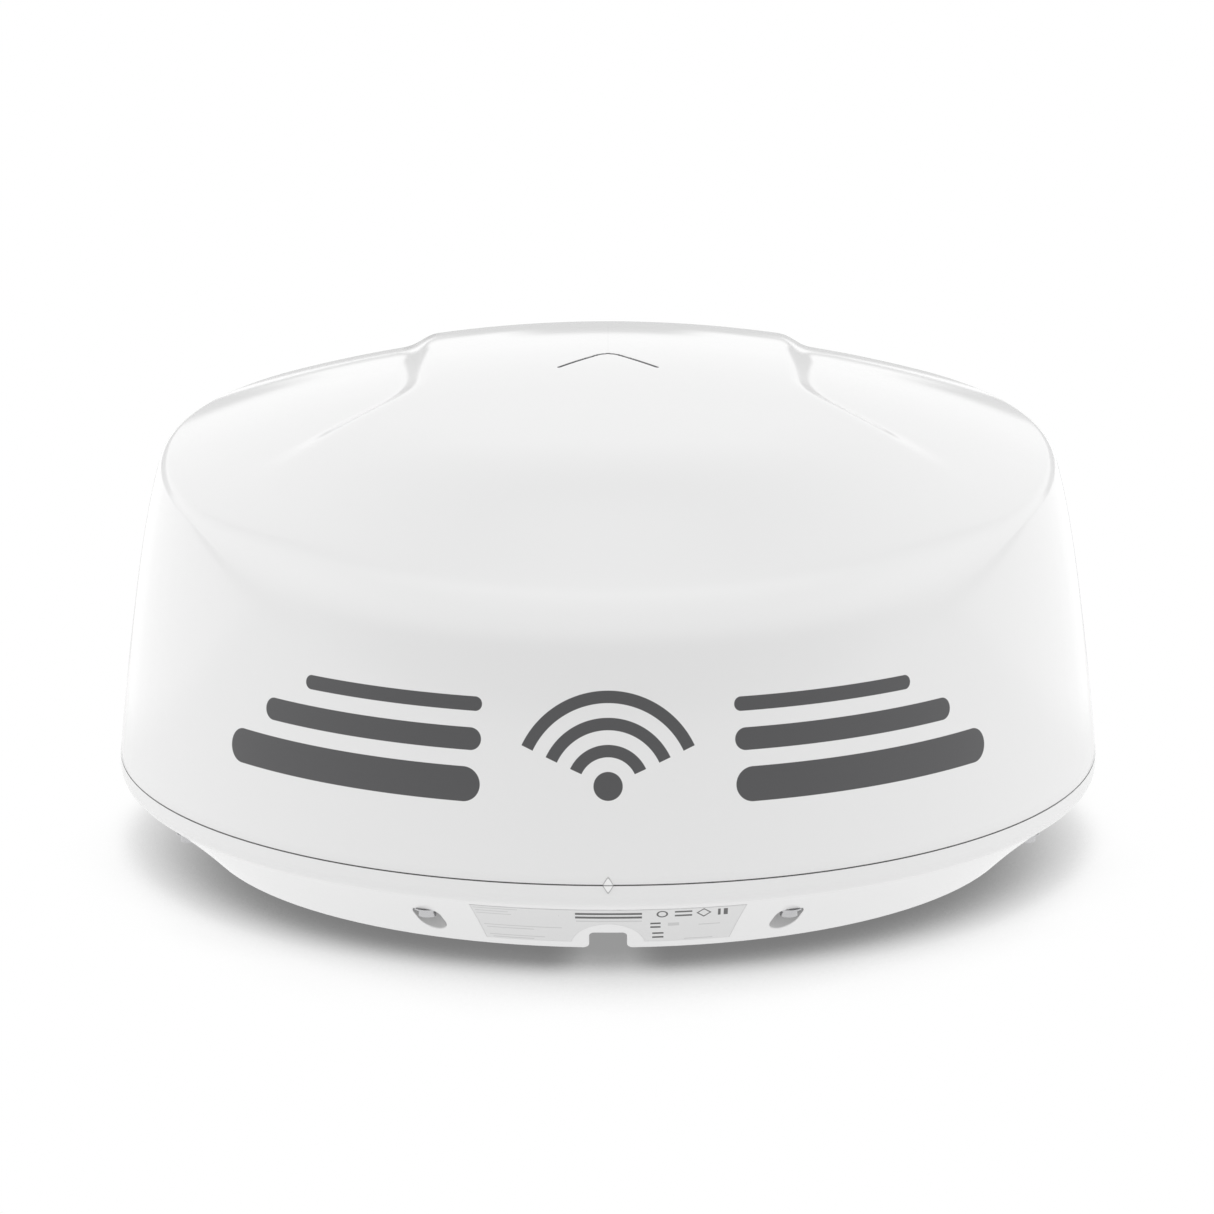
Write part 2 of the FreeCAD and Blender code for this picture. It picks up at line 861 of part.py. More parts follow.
@piece
def motor_bracket():
    """A bridge over the motor, on two walls with outward feet."""
    low, foot_top, top = floor_top, floor_top + 3.0, motor_top + 3.0
    x0, x1 = motor_x - 16.0, motor_x + 16.0
    body = fuse([
        box(motor_x - 22.0, motor_x + 22.0, -26.0, 26.0, motor_top, top),
        box(x0, x1, 23.0, 26.0, low, top),
        box(x0, x1, -26.0, -23.0, low, top),
        box(x0, x1, 23.0, 40.0, low, foot_top),
        box(x0, x1, -40.0, -23.0, low, foot_top),
    ])
    holes = [cyl(pilot_radius, 60.0, 80.0, motor_x, 0.0)]
    holes += cyls(small_core, 60.0, 80.0, motor_spots)
    holes += cyls(small_core, 10.0, 30.0, bracket_spots)
    return cut(body, holes)


@piece
def chassis_screws():
    """Screws of the motor, its bracket and the transceiver tray."""
    return group(
        small_screws(motor_spots, motor_top + 3.0, motor_top - 3.0)
        + small_screws(bracket_spots + tray_spots, floor_top + 3.0, floor_top - 3.0))


@piece
def motor_shaft():
    return cyl(shaft_radius, motor_low + 1.0, pulley_top, motor_x, 0.0)


@piece
def motor_pulley():
    flange = pinion_radius + 2.4
    body = fuse([
        cyl(pinion_radius, belt_rim_low, belt_rim_top, motor_x, 0.0),
        cyl(flange, belt_rim_low - 1.5, belt_rim_low + 0.9, motor_x, 0.0),
        cyl(flange, belt_rim_top - 0.9, belt_rim_top + 0.1, motor_x, 0.0),
    ])
    return cut(body, cyl(shaft_radius, 70.0, 95.0, motor_x, 0.0))


def belt_prism(offset, z0, z1):
    """A solid round both pulleys on the outer tangents, offset outwards from their rims."""
    large, small = pulley_radius.value + offset, pinion_radius.value + offset
    centre = motor_x.value
    angle = math.pi / 2 - math.asin((pulley_radius.value - pinion_radius.value) / centre)
    cos, sin = math.cos(angle), math.sin(angle)
    large_bow, large_stern = [Vector(large * cos, large * sin * k, 0) for k in (1, -1)]
    small_bow, small_stern = [Vector(centre + small * cos, small * sin * k, 0) for k in (1, -1)]
    wire = Part.Wire([
        Part.Arc(large_bow, Vector(-large, 0, 0), large_stern).toShape(),
        Part.makeLine(large_stern, small_stern),
        Part.Arc(small_stern, Vector(centre + small, 0, 0), small_bow).toShape(),
        Part.makeLine(small_bow, large_bow),
    ])
    solid = Part.Face(wire).extrude(Vector(0, 0, z1 - z0))
    solid.translate(Vector(0, 0, z0))
    return solid


@piece
def drive_belt():
    """A flat belt with three grooves round its inside."""
    inner = belt_gap.value
    low = belt_rim_low.value + 1.2
    width = belt_rim_top.value - 1.2 - low
    groove_width, groove_depth, groove_count = 0.8, 0.7, 3
    band = belt_prism(inner + belt_thickness.value, 0, width)
    band = band.cut(belt_prism(inner, -1, width + 1))
    for i in range(groove_count):
        z0 = width * (i + 1) / (groove_count + 1) - groove_width / 2
        z1 = z0 + groove_width
        groove = belt_prism(inner + groove_depth, z0, z1).cut(belt_prism(inner - 0.5, z0, z1))
        band = band.cut(groove)
    return feature(band, "belt", low)


# ---------------------------------------------------------------- array antenna
# The array faces the stern. Its frame is screwed to an upright of the saddle.
upright_face = array_back + 3.0
weight_face = upright_face + 8.0
# Screw places on the back of the frame, as (x, z)
array_bolts = grid((-38.0, -16.0, 16.0, 38.0), (143.0,))
weight_bolts = grid((-34.0, -20.0), (120.0,))
feed_x, feed_z = 60.0, 125.0
array_board_front = -8.6
array_board_back = array_board_front + board_thickness


@piece
def array_saddle():
    body = fuse([
        box(-45.0, 45.0, -18.0, 28.0, spindle_top, saddle_top),
        box(-45.0, 45.0, array_back, upright_face, spindle_top, 152.0),
        box(-45.0, -42.0, array_back, 28.0, spindle_top, 120.0),
        box(42.0, 45.0, array_back, 28.0, spindle_top, 120.0),
    ])
    holes = cyls(2.0, 80.0, 110.0, table_spots)
    holes += [
        box(-6.0, 6.0, -6.0, 30.0, 80.0, spindle_top + 7.0),
        cyl(spindle_bore + 1.0, 80.0, saddle_top + 1.0),
    ]
    holes += [cyl_y(small_core, 0.0, 20.0, x, z) for x, z in array_bolts + weight_bolts]
    return cut(body, holes)


@piece
def array_frame():
    """A trough, open to the stern."""
    shell = cut(
        box(-array_half, array_half, array_front, array_back, array_low, array_top),
        box(2.0 - array_half, array_half - 2.0, array_front - 1.0, array_back - 3.0,
            array_low + 2.0, array_top - 2.0),
    )
    holes = [cyl_y(small_core, 9.0, 20.0, x, z) for x, z in array_bolts + weight_bolts]
    holes += [cyl_y(3.0, 5.0, 20.0, feed_x, feed_z)]
    return cut(shell, holes)


@piece
def array_screws():
    return group(
        array_screws_at(array_bolts, upright_face) + array_screws_at(weight_bolts, weight_face))


@piece
def array_cover():
    return cut(
        box(-array_half - 2.0, array_half + 2.0, array_front - 4.0, -3.0,
            array_low - 2.0, array_top + 2.0),
        box(-array_half, array_half, array_front - 2.0, 0.0, array_low, array_top))


@piece
def array_board():
    return box(
        -200.0, 200.0, array_board_front, array_board_back, array_low + 4.0, array_top - 4.0)


@piece
def array_spacers():
    return group([
        box(x - 6.0, x + 6.0, array_board_back, array_back - 3.0,
            array_low + 8.0, array_top - 8.0)
        for x in (-180.0, -120.0, -60.0, 0.0, 110.0, 180.0)
    ])


@piece
def radiating_patches():
    """Two rows of twenty patches on the stern face of the board."""
    half_width, height, pitch = 6.5, 18.0, 20.0
    return group([
        box(x - half_width, x + half_width, array_board_front - 0.3, array_board_front,
            z, z + height)
        for x, z in grid([-190.0 + pitch * i for i in range(20)], (113.0, 140.0))
    ])


@piece
def counterweight():
    return cut(
        box(-42.0, -12.0, upright_face, weight_face, 104.0, 136.0),
        [cyl_y(small_core, 10.0, 30.0, x, z) for x, z in weight_bolts])


@piece
def feed_cable():
    """The cable from the rotor block to its plug in the back of the frame."""
    wire = cable([
        (0, 22.1, 95.2), (0, 26, 95.4), (5, 32, 98), (20, 34, 106),
        (46, 30, 118), (58, 24, 124.5), (feed_x, 18.7, feed_z),
    ], 1.7)
    return fuse([
        cut(wire, rotor_block()),
        cyl_y(3.0, 9.0, 18.5, feed_x, feed_z),
        cyl_y(4.5, array_back, 14.0, feed_x, feed_z),
    ])


# ---------------------------------------------------------------- transceiver
tray_floor = floor_top + 3.0
tray_top = 48.0
lid_top = 51.0


@piece
def transceiver_tray():
    """An open tray with corner posts and ears, and a hole in its near wall for the coax."""
    tray = cut(
        box(tray_far, tray_near, -tray_half, tray_half, floor_top, tray_top),
        box(tray_far + 3, tray_near - 3, 3 - tray_half, tray_half - 3, tray_floor, 60.0))
    posts = cyls(5.0, floor_top, tray_top, lid_spots)
    ears = [
        box(x - 5.0, x + 5.0, -66.0, 66.0, floor_top, tray_floor)
        for x in (tray_far + 5, tray_near - 5)
    ]
    holes = cyls(small_core, 40.0, 60.0, lid_spots) + cyls(small_core, 10.0, 30.0, tray_spots)
    coax_hole = rod(3.0, 20.0, tray_near - 10.0, 0.0, 30.0, ALONG_X)
    return cut(cut(fuse([tray] + posts + ears), holes), coax_hole)


@piece
def transceiver_lid():
    """A flat lid with eleven upright fins."""
    lid = box(tray_far, tray_near, -tray_half, tray_half, tray_top, lid_top)
    starts = [tray_far + 12 + 8 * i for i in range(11)]
    fins = [box(x, x + 2, -44.0, 44.0, 50.0, 60.0) for x in starts]
    return cut(fuse([lid] + fins), cyls(small_core, 40.0, 60.0, lid_spots))


@piece
def lid_screws():
    return group(small_screws(lid_spots, lid_top, 42.0))


@piece
def transceiver_board():
    """The board and two blocks on it."""
    return fuse([
        box(tray_far + 12, tray_near - 12, -46.0, 46.0, tray_floor, tray_floor + board_thickness),
        box(-160.0, -130.0, -24.0, 24.0, 20.0, 34.0),
        box(-120.0, -102.0, -12.0, 12.0, 20.0, 32.0),
    ])


# ---------------------------------------------------------------- circuit boards
main_low = 26.0
main_top = main_low + board_thickness
driver_low = 20.0


@piece
def main_board():
    return cut(
        box(-85.0, 85.0, 78.0, 165.0, main_low, main_top),
        cyls(small_core, 20.0, 30.0, board_spots))


@piece
def board_components():
    """Three cans and six blocks on the main board."""
    # x0, x1, y0, y1, height
    blocks = [
        (-20.0, 0.0, 140.0, 158.0, 10.0),
        (30.0, 58.0, 138.0, 156.0, 3.0),
        (-70.0, -50.0, 82.0, 90.0, 9.0),
        (-40.0, -20.0, 82.0, 90.0, 9.0),
        (52.0, 70.0, 82.0, 90.0, 9.0),
        (10.0, 22.0, 140.0, 152.0, 2.0),
    ]
    return group(
        cyls(5.0, main_top, main_top + 14.0, grid((-60.0, -46.0, -32.0), (150.0,)))
        + [box(x0, x1, y0, y1, main_top, main_top + height) for x0, x1, y0, y1, height in blocks])


@piece
def shield_can():
    return box(-22.0, 34.0, 94.0, 132.0, main_top, main_top + 6.0)


@piece
def driver_board():
    """The board beside the motor, with two blocks on it."""
    board = cut(
        box(132.0, 196.0, -48.0, 48.0, driver_low, driver_low + board_thickness),
        cyls(small_core, 12.0, 30.0, driver_spots))
    return fuse([
        board,
        box(150.0, 180.0, -16.0, 16.0, 21.0, 33.0),
        box(134.0, 142.0, 20.0, 36.0, 21.0, 30.0),
    ])


def snap_post(x, y, board_low):
    """A post under a circuit board, with a barb above it."""
    top = board_low + board_thickness
    return fuse([
        cyl(3.5, floor_top, board_low, x, y),
        cyl(1.5, floor_top, top + 0.5, x, y),
        cyl(2.4, top, top + 2.0, x, y),
    ])


@piece
def board_posts():
    return group(
        [snap_post(x, y, main_low) for x, y in board_spots]
        + [snap_post(x, y, driver_low) for x, y in driver_spots])


# ---------------------------------------------------------------- wiring
# Cable paths are (x, y, z); each harness is trimmed clear of what it plugs into.
def socket_clearance(x):
    return cyl_y(6.5, -90.0, -72.9, x, socket_z)


@piece
def power_harness():
    wire = cable([
        (-16, -73, 24), (-18, -68.5, 26), (-40, -66, 30), (-70, -56, 34), (-78, -20, 36),
        (-76, 30, 38), (-62, 74, 45), (-60, 86, main_top + 14), (-60, 86, main_top + 9.6),
    ], 2.2)
    return cut(wire, socket_clearance(-socket_x))


@piece
def network_harness():
    wire = cable([
        (16, -73, 24), (18, -68.5, 26), (40, -66, 28), (66, -52, 25), (69.5, -20, 26),
        (69.5, 20, 30), (30, 72, 38), (-26, 78, 46), (-30, 86, main_top + 14),
        (-30, 86, main_top + 9.6),
    ], 1.8)
    return cut(wire, socket_clearance(socket_x))


@piece
def motor_harness():
    wire = cable([
        (motor_x + 27, 0, 34), (motor_x + 32, 2, 34), (motor_x + 36, 18, 33),
        (138, 27, 31.5), (138.2, 28, 30),
    ], 1.5)
    return cut(wire, [
        box(motor_x + 17.0, motor_x + 27.05, -9.0, 9.0, 28.0, 40.0),
        box(133.0, 143.0, 19.0, 37.0, 19.0, 30.05),
    ])


@piece
def coax_cable():
    return cable([
        (-24.1, 0, 24), (-38, 0, 24.5), (-60, 0, 27), (-75, 0, 29.8),
        (-86, 0, 30), (-94, 0, 29), (-101.8, 0, 28),
    ], 1.6)


# ---------------------------------------------------------------- rating label
@piece
def rating_label():
    """A thin patch on the stern slope of the pan, arched over the cable outlet."""
    thickness = 0.25
    skin = turned([
        (foot_radius + thickness, 0.0),
        (rim_radius - 3.4 + thickness, 32.7),
        (rim_radius - 3.4, 32.7),
        (foot_radius, 0.0),
    ], {0: (slope_mid[0] + thickness, slope_mid[1]), 2: slope_mid})
    body = new("PartDesign::Body")
    sketch = outline(body, [(-59.4, 4.3), (59.4, 4.3), (67.2, 30.4), (-67.2, 30.4)], {})
    pad = body.newObject("PartDesign::Pad", "pad")
    pad.Profile = sketch
    pad.Length = 120.0
    pad.Midplane = True
    body.Tip = pad
    place(body, 0, -230, 0)
    return cut(common(skin, body), cyl_y(18.4, -260.0, -180.0, 0.0, 0.0))


# ---------------------------------------------------------------- dome cover
# The outside is one free-form surface: a slightly barrelled wall, a crowned roof with a
# raised centre panel, and a rounded edge between them whose radius grows at the stern.
# Heights here are above the parting plane.

# Wall radius as a polynomial of height, constant term first
WALL = (253.281485, -8.65331265e-2, -7.35593999e-4, 7.60370062e-6, -3.65488625e-8)
# Sections round each half of the dome, and steps along the parts of a section
SECTIONS = 61
WALL_STEPS, EDGE_STEPS, ROOF_STEPS = 9, 9, 40

crown_height, crown_y = 198.0, 35.0
crown_across, crown_along = 1300.0, 1084.0  # divisors of the squared distances
panel_rise, panel_half = 5.0, 100.0
flare_y, flare_blend, flare_slope = -22.0, 8.0, 1.27  # the panel widens astern of flare_y
smallest_edge = 4.5


def wall(height):
    radius = 0.0
    for term in reversed(WALL):
        radius = radius * height + term
    return radius


def ease(t):
    """A smooth step from 0 to 1."""
    t = max(0.0, min(1.0, t))
    return t * t * t * (t * (6 * t - 15) + 10)


def roof(x, y):
    """Height of the crowned roof with its raised panel."""
    crown = crown_height - x * x / crown_across - (y - crown_y) ** 2 / crown_along
    astern = -(y - flare_y) / flare_blend
    spread = flare_blend * math.log1p(math.exp(astern))
    slope = flare_slope / (1 + math.exp(-astern))
    inside = (panel_half + flare_slope * spread - abs(x)) / math.hypot(1.0, slope)
    # The panel dies out towards the stern rim.
    fade = 1.0 - ease((math.hypot(x, y) - 105.0) / 110.0) * ease((10.0 - y) / 60.0)
    return crown + panel_rise * fade * ease((inside + 10.0) / 20.0)


def edge_radius(azimuth):
    """35 within 35 degrees of the stern, easing to 9 at 70 degrees."""
    angle = abs(math.degrees(azimuth))
    return 9.0 + 26.0 * (1.0 - ease((angle - 35.0) / 35.0))


def section(azimuth, wall_inset, roof_inset, start):
    """Points up the wall, round the edge and in to the centre, azimuth from the stern."""
    across, along = math.sin(azimuth), -math.cos(azimuth)

    def roof_at(radius):
        return roof(radius * across, radius * along) - roof_inset

    def wall_at(height):
        return wall(height) - wall_inset

    def rate(curve, place_on):
        return (curve(place_on + 0.05) - curve(place_on - 0.05)) / 0.1

    def centre_gap(height, radius):
        """Offset between the centres of edge arcs that touch the wall and the roof."""
        wall_rate, roof_rate = rate(wall_at, height), rate(roof_at, radius)
        wall_norm, roof_norm = math.hypot(1, wall_rate), math.hypot(1, roof_rate)
        return (
            wall_at(height) - edge / wall_norm - radius - edge * roof_rate / roof_norm,
            height + edge * wall_rate / wall_norm - roof_at(radius) + edge / roof_norm,
        )

    edge = max(smallest_edge, edge_radius(azimuth) - wall_inset)
    # First guess: the corner where wall and roof meet, moved in by about the edge radius
    radius = 225.0
    for i in range(60):
        radius = wall_at(roof_at(radius))
    height = roof_at(radius) - 0.6 * edge
    radius -= edge
    # Newton steps to the touching points: a height on the wall, a radius on the roof
    step = 1e-3
    for i in range(40):
        gap = centre_gap(height, radius)
        by_height = [(g - g0) / step for g, g0 in zip(centre_gap(height + step, radius), gap)]
        by_radius = [(g - g0) / step for g, g0 in zip(centre_gap(height, radius + step), gap)]
        det = by_height[0] * by_radius[1] - by_radius[0] * by_height[1]
        height_step = -(gap[0] * by_radius[1] - gap[1] * by_radius[0]) / det
        radius_step = -(by_height[0] * gap[1] - by_height[1] * gap[0]) / det
        height += height_step
        radius += radius_step
        if abs(height_step) + abs(radius_step) < 1e-9:
            break
    wall_rate = rate(wall_at, height)
    norm = math.hypot(1, wall_rate)
    centre_r = wall_at(height) - edge / norm
    centre_h = height + edge * wall_rate / norm
    angle0 = math.atan2(height - centre_h, wall_at(height) - centre_r)
    angle1 = math.atan2(roof_at(radius) - centre_h, radius - centre_r)
    points = []
    for i in range(WALL_STEPS):
        level = start + (height - start) * i / WALL_STEPS
        points.append((wall_at(level), level))
    for i in range(EDGE_STEPS):
        angle = angle0 + (angle1 - angle0) * i / EDGE_STEPS
        points.append((centre_r + edge * math.cos(angle), centre_h + edge * math.sin(angle)))
    for i in range(ROOF_STEPS + 1):
        reach = radius * (1 - i / ROOF_STEPS)
        points.append((reach, roof_at(reach)))
    return [Vector(r * across, r * along, seam_height.value + z) for r, z in points]


def dome_solid(wall_inset, roof_inset, start):
    """The solid under the dome surface, from the height start, inset as asked."""
    faces = []
    for side in (1, -1):
        surface = Part.BSplineSurface()
        surface.interpolate([
            section(side * math.pi * i / (SECTIONS - 1), wall_inset, roof_inset, start)
            for i in range(SECTIONS)
        ])
        faces.append(surface.toShape())
    rim_z = seam_height.value + start + 0.01
    rim = [
        edge for face in faces for edge in face.Edges
        if edge.BoundBox.ZMax < rim_z and edge.Length > 100
    ]
    bottom = Part.Face(Part.Wire(Part.__sortEdges__(rim)))
    shell = Part.makeShell(faces + [bottom])
    shell.sewShape()
    # Sewing may wrap the shell in a compound, and may leave it inside out.
    solid = Part.Solid(shell if shell.ShapeType == "Shell" else shell.Shells[0])
    if solid.Volume < 0:
        solid.reverse()
    return solid


insert_radius = 4.2
insert_top = 62.0


@piece
def dome_cover():
    start = (seam_gap / 2).value
    outer = dome_solid(0.0, 0.0, start)
    inner = dome_solid(cover_wall.value, cover_roof.value, start - 1.0)
    skin = feature(outer.cut(inner), "dome_skin")
    # The tongue enters the groove of the pan and rests on the gasket.
    tongue = turned([
        (groove_inner + 0.7, gasket_top),
        (groove_outer - 0.7, gasket_top),
        (groove_outer - 0.7, cover_low),
        (251.0, cover_low),
        (251.0, 54.0),
        (249.6, 54.0),
        (groove_inner + 0.7, 50.0),
    ])
    bosses = cyls(8.0, cover_low, insert_top + 4.0, cover_spots)
    webs = [spoke(14.0, 236.5, 4.0, cover_low, insert_top, angle) for angle in COVER_ANGLES]
    supports = cut(fuse(bosses + webs), cyls(insert_radius, 40.0, insert_top, cover_spots))
    mark = alignment_mark(1, cover_low, 60.0)
    return fuse([skin, tongue, mark, supports], "dome_cover_solid")


@piece
def cover_inserts():
    return group([
        cut(cyl(insert_radius, cover_low, insert_top, x, y),
            cyl(screw_core + 0.05, 40.0, insert_top - 2.0, x, y))
        for x, y in cover_spots
    ])


# ---------------------------------------------------------------- build and write
pieces = []
for build in builders:
    obj = build()
    obj.Label = build.__name__
    pieces.append((build.__name__, obj))
doc.recompute()

failed = [o.Name for o in doc.Objects if "Invalid" in o.State or "Error" in o.State]
if failed:
    raise SystemExit("failed objects: %s" % failed)
for label, obj in pieces:
    shape = obj.Shape
    if shape.isNull() or not shape.isValid() or not shape.Solids:
        raise SystemExit("bad shape: " + label)

os.makedirs("parts", exist_ok=True)
for label, obj in pieces:
    obj.Shape.exportStep("parts/%s.step" % label)
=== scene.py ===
# A white radome on its foot pan. The foot stands on z = 0 and the axis is Z.
# The stern, with the printed graphic, faces -Y towards the camera; the bow faces +Y.
# The dome meets the pan at the seam. Scene units are metres; shape sizes are in mm.
import json
import math
import bpy
import bmesh
import numpy as np
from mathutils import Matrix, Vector


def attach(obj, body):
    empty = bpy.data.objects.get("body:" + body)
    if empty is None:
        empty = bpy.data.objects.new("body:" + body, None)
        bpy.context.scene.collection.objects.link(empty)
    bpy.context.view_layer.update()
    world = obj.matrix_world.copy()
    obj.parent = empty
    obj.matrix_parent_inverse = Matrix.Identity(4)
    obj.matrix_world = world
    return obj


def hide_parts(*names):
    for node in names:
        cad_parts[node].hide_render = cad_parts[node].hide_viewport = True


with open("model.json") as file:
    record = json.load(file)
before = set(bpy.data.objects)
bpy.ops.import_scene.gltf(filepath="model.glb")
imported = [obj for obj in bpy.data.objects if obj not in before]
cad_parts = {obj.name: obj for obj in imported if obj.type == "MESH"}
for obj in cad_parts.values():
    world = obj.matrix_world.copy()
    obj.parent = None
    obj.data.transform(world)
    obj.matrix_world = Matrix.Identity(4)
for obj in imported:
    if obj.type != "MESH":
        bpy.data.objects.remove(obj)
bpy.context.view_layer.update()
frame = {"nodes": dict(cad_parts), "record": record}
NODES = frame["nodes"]
MATERIALS = {}

MM = 0.001
TO_MM = 1000.0
DEGREES = 180.0 / math.pi
SEAM = 45.5                 # height of the seam above the foot plane

# Heading chevron on the roof: (x, y) along its centre line, tip towards the bow
CHEVRON = [(-25.0, -9.5), (-4.6, 12.6), (0.0, 14.6), (4.6, 12.6), (25.0, -9.5)]

# Section of the pan's flank: a hollow arc, then a rounding up to the rim
FLANK_ARC = 319.347         # radius of the hollow arc
FLANK_OUT = 435.288         # its centre's distance from the axis
FLANK_DEPTH = 227.326       # its centre's depth below the foot plane
ROUND_ARC = 8.525
ROUND_OUT = 244.775
ROUND_HEIGHT = 39.5125


# ------------------------------------------------------------------ shader trees
class Value:
    """A shader output. Arithmetic on it adds Math nodes."""

    def __init__(self, tree, socket):
        self.tree = tree
        self.socket = socket

    def __add__(self, other): return self.tree.math("ADD", self, other)
    def __radd__(self, other): return self.tree.math("ADD", other, self)
    def __sub__(self, other): return self.tree.math("SUBTRACT", self, other)
    def __rsub__(self, other): return self.tree.math("SUBTRACT", other, self)
    def __mul__(self, other): return self.tree.math("MULTIPLY", self, other)
    def __rmul__(self, other): return self.tree.math("MULTIPLY", other, self)
    def __truediv__(self, other): return self.tree.math("DIVIDE", self, other)
    def __abs__(self): return self.tree.math("ABSOLUTE", self)
    def min(self, other): return self.tree.math("MINIMUM", self, other)
    def max(self, other): return self.tree.math("MAXIMUM", self, other)
    def sqrt(self): return self.tree.math("SQRT", self)
    def sine(self): return self.tree.math("SINE", self)
    def fract(self): return self.tree.math("FRACT", self)
    def arctan2(self, other): return self.tree.math("ARCTAN2", self, other)

    def linear(self, start, end, top=1.0):
        """0 below start, top above end, straight between."""
        inputs = {"Value": self, "From Min": start, "From Max": end, "To Max": top}
        return self.tree.value("ShaderNodeMapRange", "Result", inputs, clamp=True)

    def rise(self, start, end):
        """0 below start, 1 above end, smooth between."""
        inputs = {"Value": self, "From Min": start, "From Max": end}
        return self.tree.value("ShaderNodeMapRange", "Result", inputs,
                               interpolation_type="SMOOTHSTEP", clamp=True)

    def fall(self, start, end):
        """1 below start, 0 above end, smooth between."""
        return 1.0 - self.rise(start, end)

    def band(self, low, high, blur):
        """1 between low and high, with edges softened by blur to each side."""
        return self.rise(low - blur, low + blur) * self.fall(high - blur, high + blur)


def hypot(first, second):
    return (first * first + second * second).sqrt()


def union(masks):
    whole = masks[0]
    for mask in masks[1:]:
        whole = whole.max(mask)
    return whole


class Tree:
    """Builder for a shader tree. Most calls add a node and return its output."""

    def __init__(self, tree):
        self.tree = tree
        tree.nodes.clear()

    def put(self, socket, value):
        if isinstance(value, Value):
            self.tree.links.new(value.socket, socket)
        else:
            socket.default_value = value

    def node(self, kind, inputs=None, **props):
        made = self.tree.nodes.new(kind)
        for name, setting in props.items():
            setattr(made, name, setting)
        for key, value in (inputs or {}).items():
            self.put(made.inputs[key], value)
        return made

    def value(self, kind, output, inputs=None, **props):
        return Value(self, self.node(kind, inputs, **props).outputs[output])

    def math(self, operation, first, second=0.0):
        return self.value("ShaderNodeMath", 0, {0: first, 1: second}, operation=operation)

    def lerp(self, fraction, start, end):
        # Explicit nodes, so that two plain numbers still make a Math node
        change = self.math("SUBTRACT", end, start)
        return self.math("ADD", start, self.math("MULTIPLY", fraction, change))

    def mix(self, fraction, under, over):
        return self.value("ShaderNodeMix", 2, {0: fraction, 6: under, 7: over},
                          data_type="RGBA", blend_type="MIX")

    def point(self, kind="Object"):
        return self.value("ShaderNodeTexCoord", kind)

    def xyz(self, vector):
        made = self.node("ShaderNodeSeparateXYZ", {0: vector})
        return [Value(self, made.outputs[i]) for i in range(3)]

    def stretch(self, vector, scale):
        return self.value("ShaderNodeMapping", 0, {"Vector": vector, "Scale": scale})

    def noise(self, vector, scale, detail=4.0, rough=0.55):
        inputs = {"Vector": vector, "Scale": scale, "Detail": detail, "Roughness": rough}
        return self.value("ShaderNodeTexNoise", "Fac", inputs)

    def voronoi(self, vector, scale):
        return self.value("ShaderNodeTexVoronoi", "Distance", {"Vector": vector, "Scale": scale})

    def bump(self, height, strength, distance):
        inputs = {"Strength": strength, "Distance": distance, "Height": height}
        return self.value("ShaderNodeBump", 0, inputs)

    def surface(self, color, rough, normal, metal=0.0, ior=1.5, coat=0.0, spec=0.5, sheen=0.0):
        shader = self.value("ShaderNodeBsdfPrincipled", 0, {
            "Base Color": color, "Roughness": rough, "Metallic": metal, "IOR": ior,
            "Coat Weight": coat, "Coat Roughness": 0.05, "Specular IOR Level": spec,
            "Sheen Weight": sheen, "Normal": normal})
        self.node("ShaderNodeOutputMaterial", {0: shader})

    def camera_split(self, light, seen, output):
        """The camera sees one shader; every other ray gets the other."""
        is_camera = self.value("ShaderNodeLightPath", "Is Camera Ray")
        self.node(output, {0: self.value("ShaderNodeMixShader", 0,
                                         {0: is_camera, 1: light, 2: seen})})


def material(name):
    """Make and register a material, and return the builder for its tree."""
    MATERIALS[name] = bpy.data.materials.new(name)
    MATERIALS[name].use_nodes = True
    return Tree(MATERIALS[name].node_tree)


def rgb(color, gain=1.0, lift=0.0):
    """RGBA from a grey level or a triple, scaled, lifted and held to 1."""
    channels = color if isinstance(color, tuple) else (color,) * 3
    return tuple(min(1.0, channel * gain + lift) for channel in channels) + (1.0,)


# ------------------------------------------------------------------ general materials
def plastic(name, color, rough, grain, bump, vary):
    """Moulded plastic: fine grain, slow tone drift and faint flow lines."""
    tree = material(name)
    point = tree.point()
    slow = tree.noise(point, scale=9.0, detail=3.0)
    fine = tree.noise(point, scale=grain, detail=2.0)
    flow = tree.noise(tree.stretch(point, (1.0, 6.0, 1.0)), scale=24.0, detail=3.0)
    drift = (tree.lerp(0.5, slow, flow) - 0.5) * (2.0 * vary)
    tone = tree.mix(drift + 0.5, rgb(color, gain=1 - vary), rgb(color, gain=1 + vary))
    gloss = (fine - 0.5) * 0.10 + (rough + (slow - 0.5) * 0.08)
    tree.surface(tone, gloss, tree.bump(fine, strength=bump, distance=0.0004))


def metal(name, color, rough, stretch, scale, bump, wear):
    """Machined or brushed metal: long streaks, smudges and a few scratches."""
    tree = material(name)
    point = tree.point()
    streak = tree.noise(tree.stretch(point, stretch), scale=scale, detail=5.0, rough=0.7)
    smudge = tree.noise(point, scale=30.0)
    scored = tree.noise(tree.stretch(point, (3.0, 90.0, 3.0)), scale=35.0, detail=2.0)
    scratch = scored.rise(0.66, 0.72)
    tone = tree.mix(smudge.rise(0.35, 0.75), rgb(color), rgb(color, gain=1.0 - 0.35 * wear))
    gloss = (rough + (streak - 0.5) * 0.22) + ((smudge - 0.5) * 0.18 + scratch * 0.12)
    normal = tree.bump(streak + scratch * 0.4, strength=bump, distance=0.0002)
    tree.surface(tone, gloss, normal, metal=1.0)


